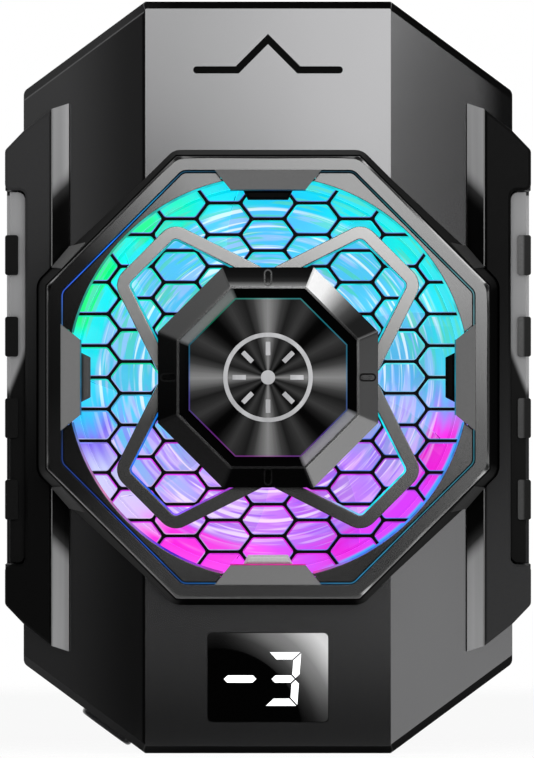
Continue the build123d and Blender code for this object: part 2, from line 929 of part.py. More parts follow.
def make_fan_rotor():
    hub = cylinder(rotor_hub_radius, 0, 0, rotor_back, rotor_front)
    hub = fillet(hub.edges().sort_by(Axis.Y)[0], rotor_wall)
    cup = cylinder(rotor_hub_radius - rotor_wall, 0, 0, rotor_back, rotor_front - rotor_cap_thickness)
    tip = cylinder(blade_tip_radius, 0, 0, rotor_back, rotor_front)
    bore = cylinder(shaft_radius, 0, 0, rotor_back, rotor_front - rotor_cap_thickness / 2)
    rotor = hub
    for k in range(blade_count):
        rotor += blade().rotate(fan_axis(), 360 / blade_count * k) & tip
    return rotor - cup - bore


# Light


def make_light_ring():
    back = fan_base_front + led_board_thickness + led_height + seat_fit
    outer = cylinder(guard_radius, 0, 0, back, guard_back)
    return outer - cylinder(light_ring_inner, 0, 0, back, guard_back)


def make_led_board():
    front = fan_base_front + led_board_thickness
    outer = cylinder(guard_radius, 0, 0, fan_base_front, front)
    return outer - cylinder(light_ring_inner, 0, 0, fan_base_front, front)


def make_leds():
    back = fan_base_front + led_board_thickness
    radius = guard_radius - light_ring_width / 2
    led = slab(Pos(0, radius) * Rectangle(led_length, led_width), back, back + led_height)
    return solids_of(led.rotate(fan_axis(), 360 / led_count * k) for k in range(led_count))


# Guard and bezel


def mesh_hole():
    """One cell of the guard: a flat-topped hexagon stretched across."""
    half_bar = mesh_bar_length / 2
    half_row = mesh_row_pitch / 2
    cell = Polygon(
        (-half_bar - mesh_slant_run, 0),
        (-half_bar, half_row),
        (half_bar, half_row),
        (half_bar + mesh_slant_run, 0),
        (half_bar, -half_row),
        (-half_bar, -half_row),
        align=None,
    )
    hole = offset(cell, amount=-mesh_line_width / 2, kind=Kind.INTERSECTION)
    return fillet(hole.vertices(), mesh_hole_radius)


def mesh_cells():
    """Centres of the cells that reach the open ring between the hub and the rim."""
    column_pitch = mesh_bar_length + mesh_slant_run
    columns = int(guard_radius / column_pitch) + 1
    rows = int(guard_radius / mesh_row_pitch) + 1
    cells = []
    for column in range(-columns, columns + 1):
        shift = 0 if column % 2 else 0.5
        for row in range(-rows - 1, rows + 1):
            place = (column * column_pitch, (row + shift) * mesh_row_pitch)
            if math.hypot(*place) < guard_radius + mesh_row_pitch / 2:
                cells.append(place)
    return cells


def make_guard_mesh():
    rim = Circle(guard_radius - guard_rim_width)
    centre = octagon(hub_apothem - edge_break)
    hole = mesh_hole()
    openings = []
    for place in mesh_cells():
        opening = Pos(*place) * hole
        if math.hypot(*place) > guard_radius - 2 * mesh_row_pitch:
            opening = opening & rim
        if math.hypot(*place) < hub_apothem + 2 * mesh_row_pitch:
            opening = opening - centre
        openings.extend(f for f in opening.faces() if f.area > smallest_mesh_hole_area)
    outer = Circle(guard_radius).faces()[0].outer_wire()
    return slab(Face(outer, [opening.outer_wire() for opening in openings]), guard_back, guard_front)


def make_star_trim():
    near, far, inner = star_outer_near, star_outer_far, star_inner_reach
    corners = [(0, inner), (near, far), (far, near)]
    points = []
    for k in range(4):
        cos_turn, sin_turn = math.cos(math.pi / 2 * k), math.sin(math.pi / 2 * k)
        for x, z in corners:
            points.append((x * cos_turn + z * sin_turn, z * cos_turn - x * sin_turn))
    line = Polygon(*points, align=None)
    outer_corners = line.vertices().filter_by(lambda v: math.hypot(v.X, v.Y) > inner + star_line_width)
    line = fillet(outer_corners, star_corner_radius)
    ring = offset(line, amount=star_line_width / 2) - offset(line, amount=-star_line_width / 2)
    return slab(ring, guard_front, guard_front + star_thickness)


def bezel_apothem(depth):
    """Apothem of the bezel's outer wall, which widens towards the casing."""
    return bezel_top_apothem + (bezel_front - depth) * bezel_draft


def bezel_skirt(grow=0.0):
    """The bezel's outer form from its front down past the casing's facets."""
    back = housing_front - facet_fall - casing_wall
    return octagon_frustum(
        back, bezel_apothem(back) + grow, bezel_front, bezel_top_apothem + grow, bezel_corner_radius
    )


def make_fan_bezel():
    skirt = bezel_skirt()
    skirt = chamfer(skirt.faces().sort_by(Axis.Y)[0].edges(), bezel_edge_chamfer)
    skirt -= casing_solid()
    plug = slab(octagon(bezel_plug_apothem), fan_base_front, housing_front)
    bezel = skirt + plug
    inner = octagon(bezel_inner_apothem, bezel_inner_corner_radius)
    bezel -= slab(inner, guard_front, bezel_front)
    bezel -= cylinder(bezel_bore_radius(), 0, 0, fan_base_front, guard_front)
    for across, height in bezel_screw_places():
        tip = fan_base_front + bezel_screw_length
        bezel -= cylinder(bezel_screw_radius, across, height, fan_base_front, tip)
    return bezel


def clamp_outline():
    """Tapered tab that reaches in from the bezel's inner edge, at the top quarter."""
    return Polygon(
        (-clamp_half_width, bezel_inner_apothem),
        (clamp_half_width, bezel_inner_apothem),
        (clamp_tip_half_width, clamp_tip_distance),
        (-clamp_tip_half_width, clamp_tip_distance),
        align=None,
    )


def clamp_side():
    """Side view of the tab: level with the bezel at its root and lower at its tip."""
    return Polygon(
        (bezel_inner_apothem, guard_front),
        (bezel_inner_apothem, bezel_front),
        (clamp_tip_distance, bezel_front - clamp_fall),
        (clamp_tip_distance, guard_front),
        align=None,
    )


def make_guard_clamps():
    wedge = extrude(side_plane(0) * clamp_side(), amount=clamp_half_width, both=True)
    tab = slab(clamp_outline(), guard_front, bezel_front) & wedge
    return solids_of(quarter_copies(tab))


def stud_outline():
    """Smaller dark tab that carries on inward from the clamp's tip."""
    root = clamp_tip_distance - seat_fit
    return Polygon(
        (-stud_half_width, root),
        (stud_half_width, root),
        (stud_tip_half_width, stud_tip_distance),
        (-stud_tip_half_width, stud_tip_distance),
        align=None,
    )


def make_guard_studs():
    stud = slab(stud_outline(), guard_front, guard_front + stud_thickness)
    stud = chamfer(stud.faces().sort_by(Axis.Y)[0].edges(), edge_break)
    return solids_of(quarter_copies(stud))


def make_corner_panels():
    outline = octagon(bezel_inner_apothem - seat_fit, bezel_inner_corner_radius)
    outline -= Circle(guard_radius - corner_panel_overlap)
    panels = slab(outline, guard_front, guard_front + corner_panel_thickness)
    gap_root = clamp_half_width + seat_fit
    gap_tip = clamp_tip_half_width + seat_fit
    gap = Polygon(
        (-gap_root, bezel_inner_apothem + overrun),
        (gap_root, bezel_inner_apothem + overrun),
        (gap_root, bezel_inner_apothem),
        (gap_tip, clamp_tip_distance),
        (-gap_tip, clamp_tip_distance),
        (-gap_root, bezel_inner_apothem),
        align=None,
    )
    cuts = quarter_copies(slab(gap, guard_front, guard_front + corner_panel_thickness))
    return panels - cuts


# Hub


def make_hub_ring():
    base = slab(octagon(hub_apothem), guard_front, hub_shoulder)
    bevel = octagon_frustum(hub_shoulder, hub_apothem, hub_front, hub_rim_apothem)
    ring = base + bevel
    ring -= slab(octagon(hub_recess_apothem), hub_floor_front, hub_front)
    ring -= make_star_trim()
    pill = Pos(0, hub_pill_radius) * Rot(0, 0, 90) * SlotOverall(hub_pill_length, hub_pill_width)
    bevel_share = (hub_apothem - hub_pill_radius) / (hub_apothem - hub_rim_apothem)
    pill_depth = hub_shoulder + bevel_share * (hub_front - hub_shoulder) - hub_pill_depth
    return ring - quarter_copies(slab(pill, pill_depth, hub_front))


def make_hub_plate():
    plate = slab(octagon(hub_plate_apothem), hub_floor_front, hub_plate_front)
    return chamfer(plate.faces().sort_by(Axis.Y)[0].edges(), hub_plate_chamfer)


def make_hub_inlay():
    front = hub_plate_front + inlay_thickness
    outer = cylinder(inlay_ring_radius, 0, 0, hub_plate_front, front)
    ring = outer - cylinder(inlay_ring_radius - inlay_ring_width, 0, 0, hub_plate_front, front)
    pieces = [ring, cylinder(inlay_dot_radius, 0, 0, hub_plate_front, front)]
    bar_middle = inlay_ring_radius - inlay_ring_width - inlay_bar_length / 2 - inlay_bar_width
    bar = slab(Pos(0, bar_middle) * Rectangle(inlay_bar_width, inlay_bar_length), hub_plate_front, front)
    for k in range(inlay_bar_count):
        pieces.append(bar.rotate(fan_axis(), 360 / inlay_bar_count * k))
    return solids_of(pieces)


# Display


def segment(*corners):
    """One lit segment from its corners, leaned over and set apart from its neighbours."""
    lean = math.tan(math.radians(digit_lean))
    outline = Polygon(*[(across + height * lean, height) for across, height in corners], align=None)
    return offset(outline, amount=-segment_gap / 2, kind=Kind.INTERSECTION)


def pointed_bar(start, end):
    """Level segment pointed at both ends."""
    half = segment_thickness / 2
    upper = [(start, 0), (start + half, half), (end - half, half), (end, 0)]
    return segment(*upper, (end - half, -half), (start + half, -half))


def digit_segments():
    """The lit segments: a minus sign and the figure three."""
    thickness = segment_thickness
    half = thickness / 2
    right = digit_width / 2
    top = digit_height / 2
    pieces = [pointed_bar(half - right, right - half)]
    for level in sides:
        end_bar = (
            (-right, level * top),
            (right, level * top),
            (right - thickness, level * (top - thickness)),
            (thickness - right, level * (top - thickness)),
        )
        upright = (
            (right, level * top),
            (right, level * half),
            (right - half, 0),
            (right - thickness, level * half),
            (right - thickness, level * (top - thickness)),
        )
        pieces.append(segment(*end_bar))
        pieces.append(segment(*upright))
    level = -window_drop - digit_drop
    three = [Pos(digit_across, level) * piece for piece in pieces]
    minus = Pos(minus_across, level) * pointed_bar(-minus_length / 2, minus_length / 2)
    return [minus] + three


def make_display_digits():
    back = housing_front - casing_wall
    return solids_of(slab(piece, back, housing_front) for piece in digit_segments())


def make_display_window():
    window = slab(window_outline(), housing_front - window_thickness, housing_front)
    cuts = [slab(piece, housing_front - window_thickness, housing_front) for piece in digit_segments()]
    return window - cuts


def make_display_module():
    width = window_width - 2 * module_margin + window_ledge
    height = window_height - module_margin
    front = housing_front - casing_wall
    outline = Pos(0, -window_drop) * Rectangle(width, height)
    return slab(outline, front - module_thickness, front)


# Boards, socket and button


def make_main_board():
    low = (-board_half_width, board_bottom_height, board_back)
    high = (board_half_width, board_top_height, board_back + board_thickness)
    return block(low, high)


def make_board_chips():
    front = board_back + board_thickness
    chips = []
    for across_share, height_share, size_share, tall_share in chip_shares:
        across = across_share * board_half_width
        height = board_bottom_height + height_share * board_length
        size = size_share * board_half_width
        top = front + tall_share * board_thickness
        chips.append(slab(Pos(across, height) * Rectangle(size, size), front, top))
    return solids_of(chips)


def socket_frame():
    """Plane at the socket's mouth, facing down, and its middle depth."""
    middle = board_back + board_thickness + socket_height / 2
    return wall_plane(0, -half_height + socket_inset, (0, 0, -1), middle)


def make_usb_socket():
    radius = socket_height / 2 - smallest_flat
    inner_height = socket_height - 2 * socket_wall
    outer = RectangleRounded(socket_height, socket_width, radius)
    inner = RectangleRounded(inner_height, socket_width - 2 * socket_wall, inner_height / 2 - smallest_flat)
    shell = extrude(socket_frame() * outer, amount=-socket_length)
    return shell - extrude(socket_frame() * inner, amount=-(socket_length - socket_wall))


def make_socket_tongue():
    root = socket_frame().offset(-(socket_length - socket_wall))
    outline = Rectangle(socket_tongue_thickness, socket_tongue_width)
    return extrude(root * outline, amount=socket_tongue_length)


def make_mode_button():
    flange_top, flange_bottom = button_stack()[:2]
    plane = button_plane()
    cap = extrude(plane.offset(-flange_top) * button_outline(), amount=flange_top + button_proud)
    top_edges = cap.faces().sort_by(lambda f: (f.center() - plane.origin).dot(plane.z_dir))[-1].edges()
    cap = fillet(top_edges, button_edge_radius)
    flange = plane.offset(-flange_bottom) * button_outline(button_flange)
    return cap + extrude(flange, amount=button_flange_thickness)


def make_button_switch():
    board_top = button_stack()[3]
    plane = button_plane().offset(-board_top)
    body = extrude(plane * Rectangle(switch_size, switch_size), amount=switch_body_height)
    return body + extrude(plane * Circle(switch_plunger_radius), amount=switch_height)


def make_button_board():
    plane = button_plane().offset(-button_stack()[3])
    outline = Rectangle(button_board_length, button_board_width)
    return extrude(plane * outline, amount=-button_board_thickness)


# Jaws: each is drawn for the right side and mirrored for the left


def to_side(shape, side):
    """The shape itself on the right, its mirror image on the left."""
    if side > 0:
        return shape
    return mirror(shape, about=Plane.YZ)


def jaw_side_profile():
    """Jaw wall seen from the side, in height and depth, from its shoulders to its hook."""
    back = -hook_reach
    right = [
        (jaw_half_height, jaw_wall_front),
        (jaw_half_height, jaw_shoulder_depth),
        (hook_waist_half_height, hook_waist_depth),
        (hook_half_height, back),
    ]
    left = [(-height, depth) for height, depth in reversed(right)]
    profile = Polygon(*right, *left, align=None)
    lower = profile.vertices().filter_by(lambda v: v.Y < jaw_wall_front)
    return fillet(lower, plate_corner_radius)


def rack_teeth(start, end, line, direction):
    """Rack teeth between two places across, on a pitch line, pointing up (1) or down (-1)."""
    lean = math.tan(math.radians(pressure_angle))
    half = rack_pitch / 4 - gear_backlash / 2
    root_half = half + rack_dedendum * lean
    tip_half = half - rack_addendum * lean
    root = line - direction * rack_dedendum
    tip = line + direction * rack_addendum
    teeth = []
    first = math.ceil((start + root_half) / rack_pitch - 0.5)
    last = math.floor((end - root_half) / rack_pitch - 0.5)
    for k in range(first, last + 1):
        middle = (k + 0.5) * rack_pitch
        teeth.append(
            Polygon(
                (middle - root_half, root),
                (middle + root_half, root),
                (middle + tip_half, tip),
                (middle - tip_half, tip),
                align=None,
            )
        )
    return teeth


def rack_arm(side):
    """Column and rack inside the casing: above the pinion on the left, below it on the right."""
    level = -side
    line = pinion_height + level * pitch_radius
    root = line + level * rack_dedendum
    spine = root + level * rack_bar
    half_depth = (tongue_depth - cover_gap) / 2
    back = tongue_back if side < 0 else tongue_front - half_depth
    free_end = -(jaw_travel + rack_overreach)
    column_outer = upper_tongue_inner + column_width
    heights = sorted((root, spine))
    bar = block((free_end, heights[0], back), (column_outer, heights[1], back + half_depth))
    column = block(
        (upper_tongue_inner, tongue_bottom, back), (column_outer, max(heights), back + half_depth)
    )
    arm = bar + column
    for tooth in rack_teeth(free_end, upper_tongue_inner, line, -level):
        arm += slab(tooth, back, back + half_depth)
    return arm


def make_jaw(side):
    profile = side_plane(jaw_wall_inner) * jaw_side_profile()
    wall = extrude(profile, amount=jaw_wall_outer - jaw_wall_inner, dir=(1, 0, 0))
    wall = fillet(outer_back_edges(wall), plate_corner_radius)
    strip_inner = strip_outer - strip_thickness
    notch = notch_half_height
    wall -= block((strip_inner, -notch, strip_back), (jaw_wall_outer, notch, jaw_wall_front))
    wall += block((jaw_wall_inner, -notch, strip_back), (strip_inner, notch, jaw_wall_front))
    tab = notch - plate_corner_radius - seat_fit
    wall += block((jaw_wall_inner, -tab, jaw_wall_front), (strip_inner, tab, strip_front - strip_flange))
    lip = block((lip_inner, -hook_half_height, -hook_reach), (jaw_wall_inner, hook_half_height, -phone_gap))
    lip = chamfer(lip.edges().filter_by(Axis.Z).sort_by(Axis.X)[:2], lip_chamfer)
    jaw = wall + lip
    jaw += tongue_box(0, upper_tongue_inner, jaw_wall_inner, 1)
    jaw += tongue_box(0, lower_tongue_inner, jaw_wall_inner, -1)
    lug_low = (lug_across, -(tongue_top + spring_drop + spring_radius), tongue_back)
    lug_high = (lug_across + lug_width, -tongue_bottom, tongue_front)
    jaw += block(lug_low, lug_high)
    jaw += rack_arm(side)
    return to_side(jaw, side)


def outer_back_edges(wall):
    """Long edge between the jaw's outer face and the back of its hook."""
    edges = wall.edges().filter_by(Axis.Z)
    return edges.group_by(Axis.Y)[-1].sort_by(Axis.X)[-1]


def make_jaw_plate(side):
    half = [
        (plate_inner, plate_inner_height),
        (housing_half_width, plate_shoulder_height),
        (jaw_wall_outer, jaw_half_height),
        (jaw_wall_outer, notch_half_height),
        (strip_edge, notch_half_height),
    ]
    lower = [(across, -height) for across, height in reversed(half)]
    outline = Polygon(*half, *lower, align=None)
    corners = outline.vertices().filter_by(lambda v: v.X > strip_edge - edge_break)
    rounded = corners.filter_by(lambda v: abs(v.Y) < jaw_half_height + edge_break)
    outline = fillet(rounded, plate_corner_radius)
    plate = slab(outline, jaw_wall_front, plate_front)
    plate = chamfer(plate.faces().sort_by(Axis.Y)[0].edges(), edge_break)
    plate -= under_wedge()
    plate -= bezel_skirt(cover_gap)
    return to_side(plate, side)


def under_wedge():
    """Room under the jaw's front plate for the casing's facet."""
    inner_depth = facet_depth(flat_half_width) + cover_gap
    outer_depth = facet_depth(jaw_wall_inner) + cover_gap
    wedge = Polygon(
        (flat_half_width, 0),
        (flat_half_width, inner_depth),
        (jaw_wall_inner, outer_depth),
        (jaw_wall_inner, 0),
        align=None,
    )
    return extrude(section_plane() * wedge, amount=housing_height, both=True)


def make_jaw_trim(side):
    section = Polygon(
        (trim_inner, 0),
        (trim_inner, facet_depth(trim_inner) + cover_gap + trim_lip),
        (plate_inner, plate_front),
        (plate_inner, 0),
        align=None,
    )
    bar = extrude(section_plane() * section, amount=housing_height, both=True)
    outline = Polygon(
        (trim_inner, trim_inner_height),
        (plate_inner, plate_inner_height),
        (plate_inner, -plate_inner_height),
        (trim_inner, -trim_inner_height),
        align=None,
    )
    bar = bar & slab(outline, 0, plate_front + overrun)
    bar -= under_wedge()
    bar -= bezel_skirt(cover_gap)
    return to_side(solids_of([bar]), side)


def make_grip_strip(side):
    inner = strip_outer - strip_thickness
    height = notch_half_height - 2 * seat_fit
    plate = block((inner, -height, strip_back + seat_fit), (strip_outer, height, strip_front))
    flange_back = strip_front - strip_flange
    flange = block((strip_edge, -height, flange_back), (strip_outer, height, strip_front))
    width = strip_outer - strip_edge
    outline = Pos(strip_edge + width / 2, 0) * Rectangle(width, 2 * height)
    outline = fillet(outline.vertices().group_by(Axis.X)[0], strip_corner_radius)
    return to_side((plate + flange) & slab(outline, strip_back, strip_front), side)


def make_grip_ribs(side):
    width = jaw_wall_outer - rib_inner
    middle = rib_inner + width / 2
    outline = RectangleRounded(width, rib_height, rib_corner_radius)
    ribs = []
    for k in range(rib_count):
        height = (k - (rib_count - 1) / 2) * rib_pitch
        rib = slab(Pos(middle, height) * outline, strip_back + rib_back_gap, rib_front)
        rib -= block(
            (rib_inner - overrun, height - rib_height, strip_back),
            (strip_outer, height + rib_height, strip_front),
        )
        ribs.append(rib)
    return to_side(solids_of(ribs), side)


def make_hook_pad(side):
    back = -phone_gap
    section = Polygon(
        (jaw_wall_inner, back),
        (jaw_wall_inner, -cover_gap),
        (jaw_wall_inner - pad_thickness, -cover_gap),
        (jaw_wall_inner - pad_thickness, back + lip_pad_thickness),
        (lip_inner + edge_break, back + lip_pad_thickness),
        (lip_inner + edge_break, back),
        align=None,
    )
    pad = extrude(section_plane() * section, amount=pad_half_height, both=True)
    return to_side(pad, side)


# Pinion and springs


def involute_point(radius, base, half_angle):
    """Point of a tooth's right flank, at a radius, for a tooth that points up."""
    roll = math.sqrt(max((radius / base) ** 2 - 1, 0))
    angle = half_angle - (roll - math.atan(roll))
    return (radius * math.sin(angle), radius * math.cos(angle))


def gear_tooth():
    """One involute tooth of the pinion, pointing up."""
    base = pitch_radius * math.cos(math.radians(pressure_angle))
    tip = pitch_radius + gear_addendum
    roll = math.tan(math.radians(pressure_angle))
    half_thickness = rack_pitch / 4 - gear_backlash / 2
    half_angle = half_thickness / pitch_radius + (roll - math.radians(pressure_angle))
    root_radius = pitch_radius - gear_dedendum
    root_half_width = root_radius * math.sin(half_angle) * tooth_foot_share
    root = (root_half_width, root_radius * math.cos(half_angle))
    foot = involute_point(base, base, half_angle)
    middle = involute_point((base + tip) / 2, base, half_angle)
    end = involute_point(tip, base, half_angle)
    left = [(-x, y) for x, y in (root, foot, middle, end)]
    lines = (
        Line(root, foot)
        + ThreePointArc(foot, middle, end)
        + Line(end, left[3])
        + ThreePointArc(left[3], left[2], left[1])
        + Line(left[1], left[0])
        + Line(left[0], (0, 0))
        + Line((0, 0), root)
    )
    return make_face(lines)


def make_sync_pinion():
    face = Circle(pitch_radius - gear_dedendum)
    tooth = gear_tooth()
    for k in range(pinion_teeth):
        face += Rot(0, 0, 360 / pinion_teeth * k) * tooth
    face -= Circle(pin_radius + running_fit)
    return slab(Pos(0, pinion_height) * face, tongue_back, tongue_front)


def make_pinion_pin():
    return cylinder(pin_radius, 0, pinion_height, rear_cover_front, pin_tip() - sliding_fit)


def make_clip_spring(side):
    """Closed extension spring between the post on the rear cover and the jaw's lug."""
    height = -(tongue_top + spring_drop)
    middle = (tongue_back + tongue_front) / 2
    plane = Plane(
        origin=(spring_post_radius + seat_fit, contact_y - middle, centre_z + height),
        x_dir=(0, 0, 1),
        z_dir=(1, 0, 0),
    )
    length = lug_across - spring_post_radius - 2 * seat_fit
    coil = extrude(plane * Circle(spring_radius), amount=length)
    coil -= extrude(plane * Circle(spring_radius - spring_wire), amount=length)
    return to_side(coil, side)


# Written pieces

pieces = {
    "front_shell": make_front_shell,
    "rear_cover": make_rear_cover,
    "rear_screws": make_rear_screws,
    "thermal_pad": make_thermal_pad,
    "cold_plate": make_cold_plate,
    "peltier_cold_ceramic": make_cold_ceramic,
    "peltier_pellets": make_peltier_pellets,
    "peltier_hot_ceramic": make_hot_ceramic,
    "insulation_foam": make_insulation_foam,
    "heat_sink": make_heat_sink,
    "heat_sink_screws": make_sink_screws,
    "fan_base": make_fan_base,
    "fan_bearing": make_fan_bearing,
    "fan_shaft": make_fan_shaft,
    "motor_board": make_motor_board,
    "stator_core": make_stator_core,
    "stator_coils": make_stator_coils,
    "rotor_magnet": make_rotor_magnet,
    "fan_rotor": make_fan_rotor,
    "light_ring": make_light_ring,
    "led_board": make_led_board,
    "leds": make_leds,
    "guard_mesh": make_guard_mesh,
    "star_trim": make_star_trim,
    "fan_bezel": make_fan_bezel,
    "bezel_screws": make_bezel_screws,
    "guard_clamps": make_guard_clamps,
    "guard_studs": make_guard_studs,
    "corner_panels": make_corner_panels,
    "hub_ring": make_hub_ring,
    "hub_plate": make_hub_plate,
    "hub_inlay": make_hub_inlay,
    "display_window": make_display_window,
    "display_digits": make_display_digits,
    "display_module": make_display_module,
    "main_board": make_main_board,
    "board_chips": make_board_chips,
    "usb_socket": make_usb_socket,
    "usb_tongue": make_socket_tongue,
    "mode_button": make_mode_button,
    "button_switch": make_button_switch,
    "button_board": make_button_board,
    "sync_pinion": make_sync_pinion,
    "pinion_pin": make_pinion_pin,
}
side_pieces = {
    "jaw": make_jaw,
    "jaw_plate": make_jaw_plate,
    "jaw_trim": make_jaw_trim,
    "grip_strip": make_grip_strip,
    "grip_ribs": make_grip_ribs,
    "hook_pad": make_hook_pad,
    "clip_spring": make_clip_spring,
}
side_names = {-1: "left", 1: "right"}

os.makedirs("parts", exist_ok=True)
for name, maker in pieces.items():
    export_step(maker(), f"parts/{name}.step")
for name, maker in side_pieces.items():
    for side, side_name in side_names.items():
        export_step(maker(side), f"parts/{side_name}_{name}.step")
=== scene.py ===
import json
import math
from functools import cached_property

import bmesh
import bpy
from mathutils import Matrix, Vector


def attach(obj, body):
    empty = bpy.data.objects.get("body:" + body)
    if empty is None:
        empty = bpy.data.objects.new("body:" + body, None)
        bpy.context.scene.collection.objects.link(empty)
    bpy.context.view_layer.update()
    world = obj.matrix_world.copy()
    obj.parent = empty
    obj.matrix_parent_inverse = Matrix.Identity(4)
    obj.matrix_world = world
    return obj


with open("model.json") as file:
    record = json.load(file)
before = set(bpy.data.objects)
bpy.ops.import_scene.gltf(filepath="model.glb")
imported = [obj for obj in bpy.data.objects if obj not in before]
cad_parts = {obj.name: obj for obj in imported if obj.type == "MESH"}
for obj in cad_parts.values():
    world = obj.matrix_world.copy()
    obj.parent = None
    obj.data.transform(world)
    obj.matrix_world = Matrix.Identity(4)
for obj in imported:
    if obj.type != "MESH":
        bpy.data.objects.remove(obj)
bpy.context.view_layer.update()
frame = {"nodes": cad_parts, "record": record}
nodes = frame["nodes"]

# Places in the shared frame, in metres
MM = 0.001
CENTRE_Z = 0.047
CONTACT_Y = 0.00625
QUARTER = math.pi / 2
WELD_GAP = 0.000001


def at_depth(depth):
    """Y of a depth in millimetres, measured forward from the phone's back."""
    return CONTACT_Y - depth * MM


# Colours: three linear parts, or one number for a grey


def solid(color):
    """Colour with full alpha, from three parts or one grey level."""
    parts = color if isinstance(color, tuple) else (color, color, color)
    return (*parts, 1.0)


def shade(color, factor):
    """Colour made lighter or darker."""
    return tuple(min(1.0, part * factor) for part in color)


def tint(red, green, blue):
    """Linear colour of an 8-bit screen colour."""
    return tuple((part / 255) ** 2.2 for part in (red, green, blue))


def screen(*stops):
    """Stops round the fan whose colours are written as 8-bit screen colours."""
    return [(angle, tint(*color)) for angle, color in stops]


# Materials


class Nodes:
    """Short calls that make and link the nodes of a tree."""

    def __init__(self, tree):
        self.tree = tree

    def set(self, socket, value):
        if isinstance(value, bpy.types.NodeSocket):
            self.tree.links.new(value, socket)
        else:
            socket.default_value = value

    def node(self, kind, inputs=None, **settings):
        node = self.tree.nodes.new(kind)
        for key, value in settings.items():
            setattr(node, key, value)
        for key, value in (inputs or {}).items():
            self.set(node.inputs[key], value)
        return node

    def math(self, operation, *values):
        node = self.node("ShaderNodeMath", operation=operation)
        for socket, value in zip(node.inputs, values):
            self.set(socket, value)
        return node.outputs[0]

    def plus(self, first, second):
        return self.math("ADD", first, second)

    def less(self, first, second):
        return self.math("SUBTRACT", first, second)

    def times(self, first, second):
        return self.math("MULTIPLY", first, second)

    def absolute(self, value):
        return self.math("ABSOLUTE", value)

    def most(self, first, second):
        return self.math("MAXIMUM", first, second)

    def span(self, value, low, high, out_low=0.0, out_high=1.0, smooth=True):
        """Maps a value from one range to another, clamped."""
        node = self.node("ShaderNodeMapRange", interpolation_type="SMOOTHSTEP" if smooth else "LINEAR")
        for socket, number in zip(node.inputs, (value, low, high, out_low, out_high)):
            self.set(socket, number)
        return node.outputs[0]

    def between(self, value, rise, fall):
        """1 between two soft edges and 0 beyond them; an edge runs from its first value to its second."""
        return self.times(self.span(value, *rise), self.span(value, *fall))

    def vector(self, x, y, z):
        return self.node("ShaderNodeCombineXYZ", {"X": x, "Y": y, "Z": z}).outputs[0]


